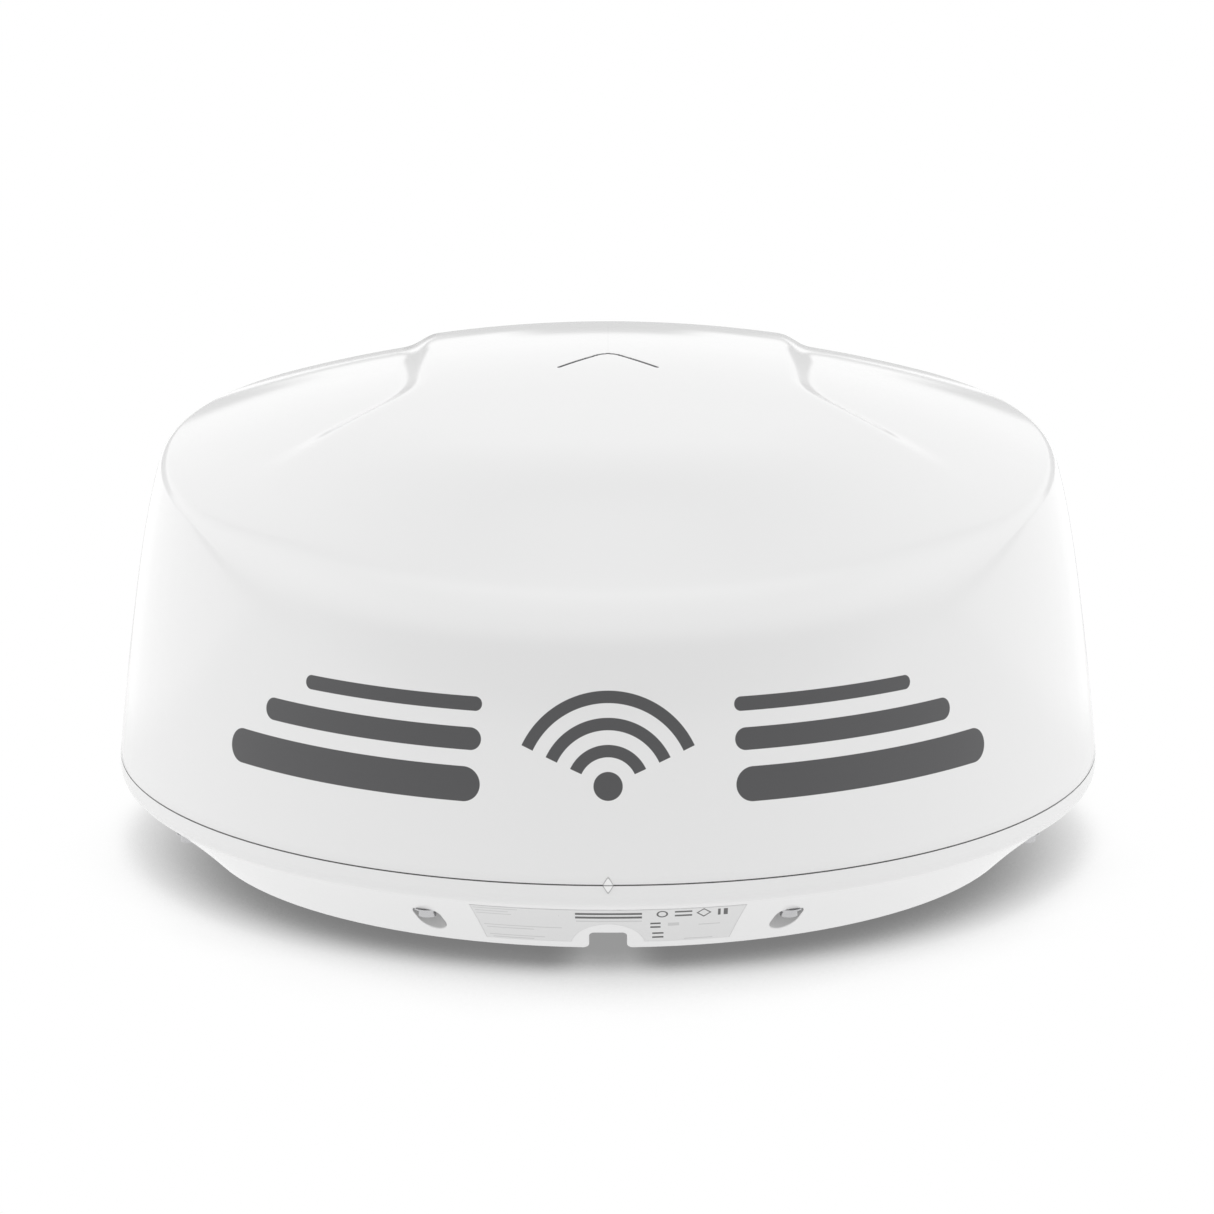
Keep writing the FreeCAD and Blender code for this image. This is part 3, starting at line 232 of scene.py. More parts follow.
def cast(name, color, rough=0.5):
    """Pebbled casting with darker patches."""
    tree = material(name)
    point = tree.point()
    pebble = tree.voronoi(point, scale=900.0)
    patch = tree.noise(point, scale=60.0, detail=5.0)
    tone = tree.mix(patch.rise(0.3, 0.8), rgb(color), rgb(color, gain=0.78))
    normal = tree.bump(pebble + patch * 0.6, strength=0.25, distance=0.0004)
    tree.surface(tone, rough + (patch - 0.5) * 0.25, normal, metal=0.9)


def rubber(name, color, rough, rib=None):
    """Dusty rubber or cable sleeve; rib is the angular rate of ribs along Z."""
    tree = material(name)
    point = tree.point()
    fine = tree.noise(point, scale=700.0, detail=3.0)
    dust = tree.noise(point, scale=40.0, detail=5.0).rise(0.45, 0.8)
    tone = tree.mix(dust * 0.35, rgb(color), rgb(color, gain=1.8, lift=0.03))
    height = fine
    if rib:
        height = fine * 0.3 + (tree.xyz(point)[2] * rib).sine()
    normal = tree.bump(height, strength=0.2, distance=0.0003)
    tree.surface(tone, rough + (fine - 0.5) * 0.2, normal, spec=0.35)


def circuit():
    """Solder mask over copper tracks, with scattered plated pads on a 5.08 mm grid."""
    tree = material("circuit_green")
    point = tree.point()
    x, y, z = tree.xyz(point)
    # Leaning coordinates, so that upright faces get pads too
    across = x + z * 0.7
    along = y + z * 0.7
    cross_runs = tree.noise(tree.stretch(point, (220.0, 18.0, 18.0)), scale=1.0, detail=1.0)
    long_runs = tree.noise(tree.stretch(point, (18.0, 220.0, 220.0)), scale=1.0, detail=1.0)
    track = cross_runs.rise(0.56, 0.58).max(long_runs.rise(0.58, 0.60))
    pitch = 0.00508
    from_middle = hypot((across / pitch).fract() - 0.5, (along / pitch).fract() - 0.5)
    pad = from_middle.fall(0.13, 0.16)
    pad = pad * tree.noise(point, scale=28.0, detail=1.0).rise(0.55, 0.57)
    board = tree.mix(track * 0.55, rgb((0.012, 0.075, 0.035)), rgb((0.03, 0.19, 0.085)))
    tone = tree.mix(pad, board, rgb((0.80, 0.74, 0.58)))
    normal = tree.bump(track + pad, strength=0.15, distance=0.0001)
    tree.surface(tone, tree.lerp(pad, 0.32, 0.22), normal, metal=pad, coat=0.3)


def components():
    """Black component bodies with faint pale patches and bright metal feet."""
    tree = material("component_black")
    point = tree.point()
    z = tree.xyz(point)[2]
    fine = tree.noise(point, scale=1200.0, detail=2.0)
    patch = tree.noise(point, scale=45.0, detail=0.0).rise(0.62, 0.63)
    feet = z.fall(0.0284, 0.0287)
    tone = tree.mix(patch * 0.15, rgb(0.02), rgb(0.35))
    tone = tree.mix(feet, tone, rgb((0.62, 0.62, 0.60)))
    normal = tree.bump(fine, strength=0.2, distance=0.0002)
    tree.surface(tone, tree.lerp(feet, 0.5, 0.3), normal, metal=feet)


def foam():
    """Open-celled grey foam."""
    tree = material("foam_grey")
    point = tree.point()
    cell = tree.voronoi(point, scale=700.0)
    mottle = tree.noise(point, scale=80.0)
    tone = tree.mix(cell.rise(0.1, 0.6), rgb((0.34, 0.35, 0.36)), rgb((0.56, 0.57, 0.58)))
    normal = tree.bump(cell, strength=0.6, distance=0.0008)
    tree.surface(tone, 0.85 + mottle * 0.1, normal, sheen=0.2)


def copper():
    """Copper with darker, rougher tarnish."""
    tree = material("copper_trace")
    tarnish = tree.noise(tree.point(), scale=120.0, detail=5.0)
    tone = tree.mix(tarnish.rise(0.35, 0.75), rgb((0.82, 0.46, 0.27)), rgb((0.55, 0.27, 0.15)))
    normal = tree.bump(tarnish, strength=0.1, distance=0.0001)
    tree.surface(tone, 0.25 + tarnish * 0.2, normal, metal=1.0)


rubber("gasket_rubber", (0.02, 0.02, 0.021), rough=0.75)
metal("stainless", (0.60, 0.60, 0.61), rough=0.24, stretch=(1, 1, 40), scale=55.0,
      bump=0.08, wear=0.25)
metal("brass", (0.78, 0.58, 0.27), rough=0.26, stretch=(1, 1, 50), scale=45.0,
      bump=0.07, wear=0.4)
plastic("dark_plastic", (0.035, 0.036, 0.038), rough=0.5, grain=1100.0, bump=0.2, vary=0.15)
plastic("nylon", (0.78, 0.75, 0.66), rough=0.42, grain=500.0, bump=0.08, vary=0.05)
cast("cast_alloy", (0.60, 0.61, 0.63))
metal("sheet_alloy", (0.76, 0.77, 0.79), rough=0.30, stretch=(60, 1, 1), scale=30.0,
      bump=0.10, wear=0.25)
metal("bearing_steel", (0.72, 0.73, 0.75), rough=0.12, stretch=(1, 1, 30), scale=30.0,
      bump=0.03, wear=0.2)
metal("motor_black", (0.07, 0.07, 0.075), rough=0.45, stretch=(1, 1, 160), scale=60.0,
      bump=0.3, wear=0.3)
circuit()
components()
copper()
rubber("belt_rubber", (0.018, 0.018, 0.02), rough=0.65, rib=3500.0)
rubber("cable_black", (0.02, 0.02, 0.022), rough=0.55)
rubber("cable_grey", (0.22, 0.23, 0.25), rough=0.55)
foam()
plastic("cover_abs", (0.72, 0.72, 0.70), rough=0.42, grain=800.0, bump=0.12, vary=0.03)
cast("ferrite", (0.13, 0.13, 0.14), rough=0.4)


# ------------------------------------------------------------------ dome and pan materials
PRINT_BLUR = 0.12
EMBLEM_HEIGHT = 93.0
EMBLEM_DOT = 7.0
EMBLEM_ARCS = ((14.0, 20.0), (27.0, 33.0), (40.0, 46.0))    # inner and outer radius
# Bars to each side: start and end along the wall, foot and top height
EMBLEM_BARS = ((62.0, 208.0, 83.0, 100.0), (62.0, 185.0, 108.0, 119.0), (62.0, 160.0, 127.0, 134.0))


def emblem(along, height):
    """Printed emblem: arcs over a dot, with round-ended bars to each side."""
    reach = hypot(along, height - EMBLEM_HEIGHT)
    above = (height - (EMBLEM_HEIGHT + abs(along) * 0.45)).rise(-PRINT_BLUR, PRINT_BLUR)
    masks = [reach.band(inner, outer, PRINT_BLUR) * above for inner, outer in EMBLEM_ARCS]
    masks.append(reach.fall(EMBLEM_DOT - PRINT_BLUR, EMBLEM_DOT + PRINT_BLUR))
    for side in (-1, 1):
        for start, end, foot, top in EMBLEM_BARS:
            round_end = (top - foot) / 2 - 0.05
            half_length = (end - start) / 2 - round_end
            half_height = (top - foot) / 2 - round_end
            past_end = (abs(along - side * (start + end) / 2) - half_length).max(0.0)
            past_top = (abs(height - (foot + top) / 2) - half_height).max(0.0)
            outside = hypot(past_end, past_top)
            masks.append(outside.fall(round_end - PRINT_BLUR, round_end + PRINT_BLUR))
    return union(masks)


def arm_distance(x, y, start, end):
    """Shader distance from (x, y) to a straight arm of the chevron."""
    run, climb = end[0] - start[0], end[1] - start[1]
    part = ((x - start[0]) * run + (y - start[1]) * climb) / (run * run + climb * climb)
    part = part.max(0.0).min(1.0)
    return hypot((x - start[0]) - part * run, (y - start[1]) - part * climb)


def dome_print(tree, x, y, z, base, rough, height):
    """The emblem on the wall, and the ink and witness line on the roof."""
    wall_radius_for_print = 247.0
    along = x.arctan2(y * -1.0) * wall_radius_for_print     # along the wall from the stern
    ink = emblem(along, z * TO_MM)
    ink = ink * (z.rise(0.060, 0.0605) * y.fall(-0.05, -0.049))     # stern wall only

    x_mm, y_mm = x * TO_MM, y * TO_MM
    aside = abs(x_mm)
    tip, bend, foot = CHEVRON[2:]
    arm = arm_distance(aside, y_mm, foot, bend).min(arm_distance(aside, y_mm, bend, tip))
    chevron = arm.fall(0.78, 1.22) * z.rise(0.2, 0.201)
    # Faint line from the chevron's tip towards the bow
    line_length = z.rise(0.2, 0.201) * (y_mm.rise(15.5, 17.0) * y_mm.fall(90.0, 170.0))
    witness = aside.fall(0.12, 0.45) * line_length
    base = tree.mix(witness * 0.10, base, rgb(0.55))
    base = tree.mix(chevron, base, rgb((0.07, 0.07, 0.073)))
    base = tree.mix(ink, base, rgb((0.088, 0.088, 0.091)))
    return base, tree.lerp(ink, rough, 0.34), height + ink * 0.5


def pan_shade(tree, x, y, z, base, rough, height):
    """Shade in the parting groove, and wherever the surface lies inside the flank."""
    radius, z_mm = hypot(x, y) * TO_MM, z * TO_MM
    groove = z_mm.rise(44.50, 44.60) * radius.rise(252.4, 252.6)
    base = tree.mix(groove, base, rgb(0.10))
    above_centre = z_mm + FLANK_DEPTH
    flank = FLANK_OUT - (FLANK_ARC ** 2 - above_centre * above_centre).sqrt()
    deep = (flank - radius).rise(0.15, 0.9) * z_mm.fall(22.0, 22.2)
    return tree.mix(deep * 0.55, base, rgb(0.30)), rough, height


def seam_mark(x, y, z):
    """Masks of painted light on the two raised marks that meet at the seam: a painted highlight on
    their faces and painted shade along their edges.
    """
    aside = x * TO_MM
    aside = (aside * aside + 0.25).sqrt() - 0.15            # rounds the tips
    from_seam = abs(z * TO_MM - (SEAM - 0.5))
    outside = aside * 0.865 + from_seam * 0.502 - 2.42
    stern = y.fall(-0.21, -0.20)
    # Painted highlight on the face of the raised mark
    face = stern * outside.fall(-0.50, -0.36)
    # Painted shade along the edges of the raised mark
    edge_shade = stern * (outside.rise(-0.56, -0.36) * outside.fall(-0.10, 0.12))
    return face, edge_shade


def white_plastic(name, rough, details):
    """Glossy white moulding: faint orange peel, slow tone drift and its own details."""
    tree = material(name)
    point = tree.point()
    x, y, z = tree.xyz(point)
    peel = tree.noise(point, scale=160.0, detail=2.0)
    micro = tree.noise(point, scale=1400.0, detail=2.0)
    slow = tree.noise(point, scale=6.0, detail=3.0)
    white = 0.86
    base = tree.mix(0.5 + (slow - 0.5) * 0.02, rgb(white, lift=-0.01), rgb(white, lift=0.01))
    gloss = rough + ((slow - 0.5) * 0.05 + (micro - 0.5) * 0.04)
    height = peel * 0.7 + micro * 0.12
    base, gloss, height = details(tree, x, y, z, base, gloss, height)
    # Seam marks at the stern: a painted highlight on the face inside painted shade along the edge
    face, edge_shade = seam_mark(x, y, z)
    base = tree.mix(face * 0.7, base, rgb(0.97))
    base = tree.mix(edge_shade * 0.60, base, rgb(0.30))
    tree.surface(base, gloss, tree.bump(height, strength=0.045, distance=0.0005), ior=1.49)


# Label print, in mm: blocks are (left, right, foot, top)
LABEL_BLUR = 0.05
LABEL_FAINT = (
    (-65.5, -44, 28.3, 28.9), (-64.5, -48.5, 26.1, 26.7), (-64, -47, 23.9, 24.5),
    (-60.4, -22.4, 14.7, 15.3), (-59, -36, 12.7, 13.3), (-57.7, -30.8, 7.0, 7.6),
    (-56, -36, 5.3, 5.9), (-15.5, 16.4, 20.4, 21.3), (29, 34.5, 16.3, 18.8),
    (44, 54.5, 16.0, 16.7), (37, 51, 5.3, 5.9),
)
LABEL_TITLE = ((-16, 16.4, 26.2, 27.9), (-16, 16.4, 23.1, 24.8))
LABEL_DASHES = ((32.3, 40.7, 27.2, 28.6), (32.3, 40.7, 23.9, 25.3))
LABEL_DARK = (
    (53.2, 54.5, 23.4, 28.7), (56.0, 58.0, 23.4, 28.7), (20.5, 25.5, 18.0, 19.3),
    (20.5, 25.5, 15.0, 16.3), (21.5, 27, 10.1, 11.3), (21.5, 27, 7.0, 8.2),
)


def label_film():
    """Printed film: pale grey, with plain bars and blocks instead of wording."""
    tree = material("label_grey")
    point = tree.point()
    x, _, z = tree.xyz(point)
    x_mm = x * TO_MM
    z_mm = z * TO_MM

    def blocks(table):
        return [x_mm.band(left, right, LABEL_BLUR) * z_mm.band(foot, top, LABEL_BLUR)
                for left, right, foot, top in table]

    faint = union(blocks(LABEL_FAINT))
    ring = hypot(x_mm - 26.2, z_mm - 26.3).band(1.9, 2.8, LABEL_BLUR)
    diamond = (abs(x_mm - 46.4) + abs(z_mm - 26.2)).band(2.7, 3.7, LABEL_BLUR)
    dark = union(blocks(LABEL_TITLE) + [ring] + blocks(LABEL_DASHES) + [diamond]
                 + blocks(LABEL_DARK))
    fine = tree.noise(point, scale=400.0, detail=2.0)
    slow = tree.noise(point, scale=30.0, detail=3.0)
    tone = tree.mix(slow, rgb(0.735), rgb(0.755))
    # Painted shadow line along the film's edges: distance in from the slanted sides, the top, the
    # foot and the arch
    side = (58.11 + z_mm * 0.2989) - abs(x_mm)
    rim = side.min(30.4 - z_mm).min((z_mm - 4.3).min(hypot(x_mm, z_mm) - 18.4))
    # Painted shadow, stronger along the slanted sides
    edge_shadow = tree.lerp(side.fall(0.4, 0.8), 0.25, 0.55) * rim.fall(0.15, 0.55)
    tone = tree.mix(edge_shadow, tone, rgb(0.38))
    tone = tree.mix(faint * 0.45, tone, rgb(0.35))
    tone = tree.mix(dark, tone, rgb(0.018))
    normal = tree.bump(fine, strength=0.03, distance=0.0002)
    tree.surface(tone, 0.30 + (fine - 0.5) * 0.1, normal)


white_plastic("radome_white", 0.10, dome_print)
white_plastic("pan_white", 0.12, pan_shade)
label_film()


# ------------------------------------------------------------------ carried-over nodes
def dress_nodes():
    slot_of = {part["node"]: part["material_slot"] for part in frame["record"]["subparts"]}
    for name, piece in NODES.items():
        piece.data.materials.clear()
        piece.data.materials.append(MATERIALS[slot_of[name]])
        for poly in piece.data.polygons:
            poly.use_smooth = True
        piece.data.set_sharp_from_angle(angle=math.radians(32))


def flank_normals(name, inset):
    """Give faces on the turned flank its true normals, so no flats show in the gloss.
    inset moves the centre of the hollow arc outward."""
    mesh = NODES[name].data
    places = np.empty(len(mesh.vertices) * 3)
    mesh.vertices.foreach_get("co", places)
    places = places.reshape(-1, 3)
    radius = np.hypot(places[:, 0], places[:, 1]) / MM
    z = places[:, 2] / MM
    # Hollow arc at the foot, then the rounding, then the upright rim
    hollow, rounded = z < 32.71, z < 39.5

    def by_zone(on_hollow, on_round, on_rim):
        return np.where(hollow, on_hollow, np.where(rounded, on_round, on_rim))

    out = by_zone(FLANK_OUT + inset - radius, radius - ROUND_OUT, 1.0)
    up = by_zone(-FLANK_DEPTH - z, z - ROUND_HEIGHT, 0.0)
    size = np.hypot(out, up)
    miss = by_zone(np.abs(size - FLANK_ARC), np.abs(size - ROUND_ARC),
                   np.abs(radius - (ROUND_OUT + ROUND_ARC)))
    on_flank = (miss < 0.03) & (z < 44.8)
    out, up = out / size, up / size
    shrink = 1.0 / np.maximum(radius * MM, 1e-9)
    normal = np.stack([out * places[:, 0] * shrink, out * places[:, 1] * shrink, up], axis=1)
    corners = np.zeros((len(mesh.loops), 3))        # zero keeps a corner's own normal
    for poly in mesh.polygons:
        ids = list(poly.vertices)
        if not all(on_flank[i] for i in ids):
            continue
        if float(np.dot(normal[ids].mean(axis=0), np.array(poly.normal))) < 0.96:
            continue
        for corner, vertex in zip(poly.loop_indices, ids):
            corners[corner] = normal[vertex]
    mesh.normals_split_custom_set([tuple(v) for v in corners.tolist()])


dress_nodes()
flank_normals("foot_pan", 0.0)
flank_normals("rating_label", 0.25)


# ------------------------------------------------------------------ shape of the dome
# Heights in this section are above the seam, except for the screw bosses and webs.
# Wall radius as a polynomial in height, lowest power first
WALL = (253.281485, -8.65331265e-2, -7.35593999e-4, 7.60370062e-6, -3.65488625e-8)
WALL_THICK = 4.0
ROOF_THICK = 4.2
ROOF_TOP = 198.0
ROOF_CREST_Y = 35.0
ROOF_FALL_X = 1300.0        # the roof drops by distance squared over these
ROOF_FALL_Y = 1084.0
PANEL_RISE = 5.0            # raised panel along the middle of the roof
PANEL_HALF = 100.0          # its half width at the bow
PANEL_FLARE = 1.27          # half width gained per mm towards the stern
FLARE_START_Y = -22.0
FLARE_BLEND = 8.0
CHEVRON_DEPTH = 0.45

DOME_COLUMNS = 360
CENTRE_STEP = 0.7           # ring spacing near the axis, fine for the chevron
CENTRE_RINGS = 50
CENTRE_RADIUS = 35.0
SKIRT_TOP = 9.5             # where the inner wall starts, above the inner lip
# Rounded foot of the outer wall: inset from the wall, height
RIM_FOOT = ((0.02, -0.12), (0.10, -0.25), (0.22, -0.33), (0.40, -0.35))
# Tongue below the seam and the lip inside it: radius, height
TONGUE = [(248.2, -0.35), (247.8, -0.45), (247.8, -2.5), (247.4, -2.9), (244.6, -2.9),
          (244.2, -2.5), (244.2, 4.2), (244.6, 4.9), (248.2, 8.0)]

# Screw bosses inside the skirt: heights above the foot plane
BOSS_COUNT = 8
BOSS_CIRCLE = 230.3
BOSS_COLUMNS = 32
BOSS_PROFILE = ((4.2, 46.0), (4.6, 45.9), (7.6, 45.9), (8.0, 46.3), (8.0, 65.5), (7.5, 66.0),
                (4.2, 66.0), (4.2, 46.0))       # radius, height
WEB_RADII = (238.5, 250.0)
WEB_SIDES = (-2.0, 2.0)
WEB_HEIGHTS = (46.0, 62.0)
WEB_FACES = ((0, 1, 3, 2), (4, 6, 7, 5), (0, 4, 5, 1), (2, 3, 7, 6), (0, 2, 6, 4), (1, 5, 7, 3))


def wall_radius(height):
    radius = 0.0
    for factor in reversed(WALL):
        radius = radius * height + factor
    return radius


def ease(t):
    t = max(0.0, min(1.0, t))
    return t * t * t * (t * (6 * t - 15) + 10)


def roof_height(x, y):
    crown = ROOF_TOP - x * x / ROOF_FALL_X - (y - ROOF_CREST_Y) ** 2 / ROOF_FALL_Y
    astern = -(y - FLARE_START_Y) / FLARE_BLEND
    spread = FLARE_BLEND * math.log1p(math.exp(astern))
    slope = PANEL_FLARE / (1 + math.exp(-astern))
    inside = (PANEL_HALF + PANEL_FLARE * spread - abs(x)) / math.hypot(1.0, slope)
    # The panel dies away far from the axis, except at the bow
    fade = 1.0 - ease((math.hypot(x, y) - 105.0) / 110.0) * ease((10.0 - y) / 60.0)
    return crown + PANEL_RISE * fade * ease((inside + 10.0) / 20.0)


def edge_radius(azimuth):
    """Rounding between wall and roof: 35 mm at the stern, 9 mm past 70 degrees from it."""
    angle = abs(math.degrees(azimuth))
    return 9.0 + 26.0 * (1.0 - ease((angle - 35.0) / 35.0))


def slope_at(curve, place):
    return (curve(place + 0.05) - curve(place - 0.05)) / 0.1


def spread(start, end, count):
    """count even steps from start, leaving start out and reaching end."""
    return [start + (end - start) * (i + 1) / count for i in range(count)]


class Section:
    """Section of one dome skin at an azimuth from the stern: wall, rounding and roof."""

    def __init__(self, azimuth, wall_inset=0.0, roof_inset=0.0):
        self.x, self.y = math.sin(azimuth), -math.cos(azimuth)
        self.wall_inset = wall_inset
        self.roof_inset = roof_inset
        self.rounding = edge_radius(azimuth) - wall_inset
        self.fit_rounding()

    def wall(self, height):
        return wall_radius(height) - self.wall_inset

    def roof(self, radius):
        return roof_height(radius * self.x, radius * self.y) - self.roof_inset

    def centre_from_wall(self, height):
        slope = slope_at(self.wall, height)
        size = math.hypot(1, slope)
        return (self.wall(height) - self.rounding / size,
                height + self.rounding * slope / size)

    def centre_from_roof(self, radius):
        slope = slope_at(self.roof, radius)
        size = math.hypot(1, slope)
        return (radius + self.rounding * slope / size,
                self.roof(radius) - self.rounding / size)

    def gap(self, height, radius):
        wall_side, roof_side = self.centre_from_wall(height), self.centre_from_roof(radius)
        return wall_side[0] - roof_side[0], wall_side[1] - roof_side[1]

    def fit_rounding(self):
        """Find the wall height and roof radius where the rounding touches."""
        radius = 225.0
        for _ in range(40):
            radius = self.wall(self.roof(radius))
        height = self.roof(radius) - 0.6 * self.rounding
        radius -= self.rounding
        nudge = 1e-3
        for _ in range(30):     # Newton's method
            gap = self.gap(height, radius)
            higher = self.gap(height + nudge, radius)
            wider = self.gap(height, radius + nudge)
            j11, j21 = (higher[0] - gap[0]) / nudge, (higher[1] - gap[1]) / nudge
            j12, j22 = (wider[0] - gap[0]) / nudge, (wider[1] - gap[1]) / nudge
            det = j11 * j22 - j12 * j21
            rise = -(gap[0] * j22 - gap[1] * j12) / det
            widen = -(j11 * gap[1] - j21 * gap[0]) / det
            height += rise
            radius += widen
            if abs(rise) + abs(widen) < 1e-8:
                break
        self.wall_end, self.roof_end = height, radius
        self.centre = self.centre_from_wall(height)
        out, up = self.centre
        self.wall_angle = math.atan2(height - up, self.wall(height) - out)
        self.roof_angle = math.atan2(self.roof(radius) - up, radius - out)

    def arc(self, start, end, count):
        out, up = self.centre
        return [(out + self.rounding * math.cos(a), up + self.rounding * math.sin(a))
                for a in spread(start, end, count)]


def chevron_dip(x, y):
    """Depth of the engraved chevron at (x, y)."""
    distance = math.inf
    for (ax, ay), (bx, by) in zip(CHEVRON, CHEVRON[1:]):
        part = ((x - ax) * (bx - ax) + (y - ay) * (by - ay)) / ((bx - ax) ** 2 + (by - ay) ** 2)
        part = max(0.0, min(1.0, part))
        off = math.hypot(x - ax - part * (bx - ax), y - ay - part * (by - ay))
        distance = min(distance, off)
    return CHEVRON_DEPTH * (1.0 - ease((distance - 0.35) / 0.7))


def dome_profile(azimuth):
    """One column from the top, down the outside, round the foot and up the inside."""
    skin = Section(azimuth)
    points = []
    for i in range(CENTRE_RINGS):
        r = CENTRE_STEP * (i + 1)
        points.append((r, skin.roof(r) - chevron_dip(r * skin.x, r * skin.y)))
    points += [(r, skin.roof(r)) for r in spread(CENTRE_RADIUS, skin.roof_end, 84)]
    points += skin.arc(skin.roof_angle, skin.wall_angle, 16)
    points += [(skin.wall(h), h) for h in spread(points[-1][1], -0.02, 26)]
    foot = skin.wall(0.4)
    points += [(foot - inset, h) for inset, h in RIM_FOOT]
    points += TONGUE
    points.append((skin.wall(SKIRT_TOP) - WALL_THICK, SKIRT_TOP))
    lining = Section(azimuth, WALL_THICK, ROOF_THICK)
    points += [(lining.wall(h), h) for h in spread(SKIRT_TOP, lining.wall_end, 10)]
    points += lining.arc(lining.wall_angle, lining.roof_angle, 6)
    points += [(r, lining.roof(r)) for r in spread(lining.roof_end, 0.0, 19)[:-1]]
    return [(r * skin.x * MM, r * skin.y * MM, (SEAM + h) * MM) for r, h in points]


def grid_faces(rows, cols):
    """Quads between rings of points, each ring closed on itself."""
    faces = []
    for i in range(rows - 1):
        for j in range(cols):
            k = (j + 1) % cols
            faces.append((i * cols + j, i * cols + k, (i + 1) * cols + k, (i + 1) * cols + j))
    return faces


def boss(x, y):
    verts = []
    for r, z in BOSS_PROFILE:
        for j in range(BOSS_COLUMNS):
            a = 2 * math.pi * j / BOSS_COLUMNS
            verts.append(((x + r * math.cos(a)) * MM, (y + r * math.sin(a)) * MM, z * MM))
    return verts, grid_faces(len(BOSS_PROFILE), BOSS_COLUMNS)


def web(angle):
    """Flat rib between a boss and the wall."""
    outward = Vector((math.cos(angle), math.sin(angle), 0))
    sideways = Vector((-math.sin(angle), math.cos(angle), 0))
    verts = []
    for r in WEB_RADII:
        for side in WEB_SIDES:
            for z in WEB_HEIGHTS:
                place = outward * r + sideways * side
                verts.append((place.x * MM, place.y * MM, z * MM))
    return verts, WEB_FACES


def mesh_object(name, verts, faces):
    mesh = bpy.data.meshes.new(name)
    mesh.from_pydata(verts, [], faces)
    mesh.update()
    made = bpy.data.objects.new(name, mesh)
    bpy.context.scene.collection.objects.link(made)
    return made


def white_moulding(name, verts, faces, sharp_degrees):
    """Smooth white piece with normals facing out and creases kept sharp."""
    made = mesh_object(name, verts, faces)
    for poly in made.data.polygons:
        poly.use_smooth = True
    edit = bmesh.new()
    edit.from_mesh(made.data)
    bmesh.ops.recalc_face_normals(edit, faces=edit.faces)
    edit.to_mesh(made.data)
    edit.free()
    made.data.set_sharp_from_angle(angle=math.radians(sharp_degrees))
    made.data.materials.append(MATERIALS["radome_white"])
    return made


def dome():
    cols = DOME_COLUMNS
    columns = [dome_profile(2 * math.pi * j / cols - math.pi) for j in range(cols)]
    verts = [point for ring in zip(*columns) for point in ring]
    faces = grid_faces(len(columns[0]), cols)
    # Close both skins at the axis
    top = len(verts)
    last = top - cols
    verts.append((0.0, 0.0, (SEAM + roof_height(0, 0)) * MM))
    verts.append((0.0, 0.0, (SEAM + roof_height(0, 0) - ROOF_THICK) * MM))
    faces += [(top, (j + 1) % cols, j) for j in range(cols)]
    faces += [(top + 1, last + j, last + (j + 1) % cols) for j in range(cols)]
    for k in range(BOSS_COUNT):
        angle = math.radians(-90 + 22.5 + 45 * k)
        place = BOSS_CIRCLE * math.cos(angle), BOSS_CIRCLE * math.sin(angle)
        for part_verts, part_faces in (boss(*place), web(angle)):
            base = len(verts)
            verts += part_verts
            faces += [tuple(base + i for i in face) for face in part_faces]
    return white_moulding("dome_shell", verts, faces, sharp_degrees=38)


# Right half of the upper seam mark: x, height above the seam
MARK_HALF = [(2.72, -0.28), (2.34, 0.75), (1.9, 1.35), (1.55, 1.95), (1.2, 2.55),
             (0.85, 3.12), (0.55, 3.5), (0.28, 3.72), (0.0, 3.8)]
# Its rings: lift off the wall, inset of the outline
MARK_RINGS = ((-0.8, 0.0), (0.22, 0.0), (0.34, 0.10), (0.38, 0.24))


def upper_mark():
    """The raised half of the seam mark that rides on the dome."""
    outline = MARK_HALF + [(-x, h) for x, h in reversed(MARK_HALF[:-1])]
    count = len(outline)
    verts = []
    for lift, inset in MARK_RINGS:
        for x, h in outline:
            in_x = x - math.copysign(min(inset, abs(x)), x)
            in_h = h + inset * (0.2 if h < 0.3 else -1.0)
            r = wall_radius(in_h) + lift
            verts.append((in_x * MM, -math.sqrt(r * r - in_x * in_x) * MM, (SEAM + in_h) * MM))
    faces = grid_faces(len(MARK_RINGS), count)
    faces.append(tuple(3 * count + i for i in range(count)))
    faces.append(tuple(reversed(range(count))))
    return white_moulding("seam_mark_upper", verts, faces, sharp_degrees=50)


shell = dome()
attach(shell, "cover")
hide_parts("dome_cover")

mark = upper_mark()
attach(mark, "cover")


# ------------------------------------------------------------------ studio
FLOOR_RADIUS = 9.0
FLOOR_SIDES = 96
# Strength of the floor's light on the object
GLOW = 0.936
GLOW_BEHIND = 0.60
GLOW_BESIDE = 1.22
GLOW_UNDER = 0.20
# Seen brightness of the floor: openness to the sky, level
FLOOR_LEVELS = (
    (0.0, 0.200), (0.05, 0.225), (0.10, 0.260), (0.15, 0.315), (0.20, 0.386), (0.25, 0.460),
    (0.30, 0.530), (0.35, 0.595), (0.40, 0.652), (0.45, 0.706), (0.50, 0.768), (0.55, 0.855),
    (0.60, 0.942), (0.65, 0.988), (0.69, 1.0),
)


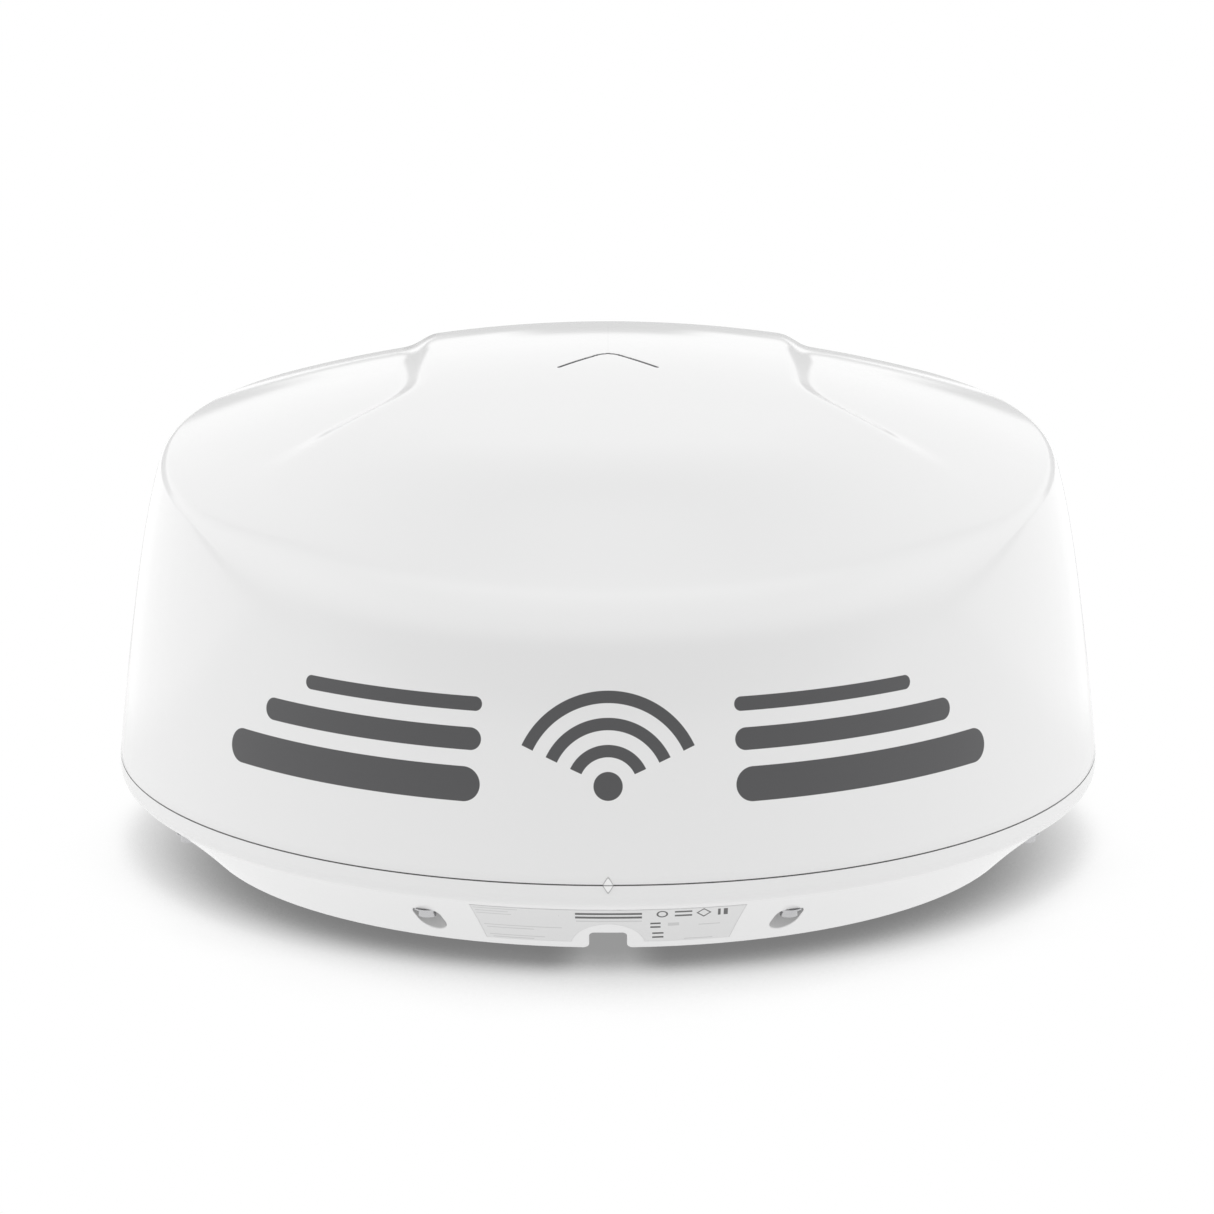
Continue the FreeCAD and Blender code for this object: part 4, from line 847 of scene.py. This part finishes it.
def floor_seen(tree, x, y):
    """What the camera sees: white with a soft contact shadow."""
    openness = tree.value("ShaderNodeAmbientOcclusion", "AO", {"Distance": 0.20}, samples=16)
    # The shadow thins towards the bow and to the sides
    lean = y.min(0.07) * 1.5 + abs(x).min(0.3) * 0.6
    open_sky = openness + lean * (1.0 - openness)
    # Light let in under the stern edge through the cable outlet
    outlet = abs(x).fall(0.008, 0.032) * (-0.211 - y).fall(0.015, 0.060)
    ramp = tree.node("ShaderNodeValToRGB", {0: open_sky.max(0.0) + outlet * 0.15})
    stops = ramp.color_ramp.elements
    stops.remove(stops[-1])
    stops[0].position, stops[0].color = FLOOR_LEVELS[0][0], rgb(FLOOR_LEVELS[0][1])
    for place, level in FLOOR_LEVELS[1:]:
        stops.new(place).color = rgb(level)
    return tree.value("ShaderNodeEmission", 0, {"Color": Value(tree, ramp.outputs[0])})


def floor_glow(tree, x, y):
    """Light given to the object: dim behind and under it, bright behind to the sides."""
    off = abs(x) - y.min(1.6) * 0.10
    behind = y.rise(0.28, 0.38) * off.fall(0.25, 0.31)
    beside = y.rise(0.12, 0.30) * off.rise(0.27, 0.36)
    level = tree.lerp(beside, GLOW, GLOW_BESIDE)
    level = tree.lerp(behind, level, GLOW_BEHIND)
    clear_of_foot = hypot(x, y).rise(0.192, 0.207)
    strength = tree.lerp(clear_of_foot, GLOW_UNDER, level)
    return tree.value("ShaderNodeEmission", 0, {"Strength": strength})


def floor():
    angles = [2 * math.pi * i / FLOOR_SIDES for i in range(FLOOR_SIDES)]
    verts = [(FLOOR_RADIUS * math.cos(a), FLOOR_RADIUS * math.sin(a), 0.0) for a in angles]
    made = mesh_object("studio_floor", verts, [tuple(range(FLOOR_SIDES))])
    tree = material("floor_pale")
    x, y, _ = tree.xyz(tree.point())
    seen = floor_seen(tree, x, y)
    glow = floor_glow(tree, x, y)
    tree.camera_split(glow, seen, "ShaderNodeOutputMaterial")
    made.data.materials.append(MATERIALS["floor_pale"])


# Brightness of the white tent, by azimuth from the camera side (columns) and
# elevation (rows), in degrees
SKY_AZIMUTHS = (10.0, 30.0, 50.0, 70.0, 90.0, 115.0, 145.0, 170.0)
SKY_ELEVATIONS = (2.5, 9.5, 13.0, 27.5, 42.5, 59.0, 79.0)
SKY = (
    (0.092, 0.104, 0.213, 0.695, 1.089, 1.325, 1.203, 1.100),
    (0.228, 0.324, 0.586, 0.900, 1.150, 1.220, 1.250, 1.129),
    (0.296, 0.434, 0.771, 1.050, 1.300, 1.360, 1.380, 1.129),
    (0.929, 0.946, 1.150, 1.350, 1.500, 1.450, 1.150, 0.969),
    (1.160, 1.062, 1.120, 1.350, 1.500, 1.400, 0.600, 1.000),
    (1.061, 1.014, 0.975, 0.948, 0.958, 0.920, 0.285, 0.227),
    (1.117, 1.117, 1.117, 1.117, 1.117, 1.279, 1.279, 1.279),
)
CARD_LEVEL = 0.55
BACKDROP = 1.05             # what the camera sees past the floor


def sky_row(azimuth, row):
    """Brightness along one row, straight lines between the columns."""
    level = row[0]
    for i in range(len(row) - 1):
        level = level + azimuth.linear(SKY_AZIMUTHS[i], SKY_AZIMUTHS[i + 1], row[i + 1] - row[i])
    return level


def sky():
    world = bpy.data.worlds.new("studio")
    bpy.context.scene.world = world
    world.use_nodes = True
    tree = Tree(world.node_tree)
    x, y, z = tree.xyz(tree.point("Generated"))
    azimuth = abs(x).arctan2(y * -1.0) * DEGREES
    elevation = z.arctan2(hypot(x, y)) * DEGREES
    level = sky_row(azimuth, SKY[0])
    for i in range(len(SKY) - 1):
        climb = elevation.linear(SKY_ELEVATIONS[i], SKY_ELEVATIONS[i + 1])
        level = tree.lerp(climb, level, sky_row(azimuth, SKY[i + 1]))
    # Dark cards behind the dome: a narrow one opposite the camera, one to each side
    # of it, and a low strip along the horizon
    from_bow = 180.0 - azimuth
    card = from_bow.fall(1.2, 2.4) * elevation.fall(4.0, 6.5)
    side_card = (from_bow.rise(6.0, 8.0) * from_bow.fall(36.0, 42.0)
                 * (elevation - from_bow.min(20.0) * 0.55).fall(0.0, 2.5))
    horizon = from_bow.fall(95.0, 110.0) * elevation.fall(0.0, 1.5)
    level = tree.lerp(horizon.max(card.max(side_card)), level, CARD_LEVEL)
    light, seen = [
        tree.value("ShaderNodeBackground", 0, {"Color": rgb(1.0), "Strength": strength})
        for strength in (level, BACKDROP)]
    tree.camera_split(light, seen, "ShaderNodeOutputWorld")


def camera():
    scene = bpy.context.scene
    lens = bpy.data.cameras.new("camera")
    made = bpy.data.objects.new("camera", lens)
    scene.collection.objects.link(made)
    made.location = (0.0, -2.99869, 0.90290)
    target = Vector((0.0, 0.0, 0.11685))
    look = target - Vector(made.location)
    made.rotation_euler = look.to_track_quat("-Z", "Y").to_euler()
    lens.sensor_width = 36.0
    lens.lens = 177.35
    lens.shift_x = -0.0009
    lens.clip_start = 0.05
    lens.clip_end = 50.0
    scene.camera = made


floor()
sky()
bpy.context.scene.view_settings.view_transform = "Standard"
camera()
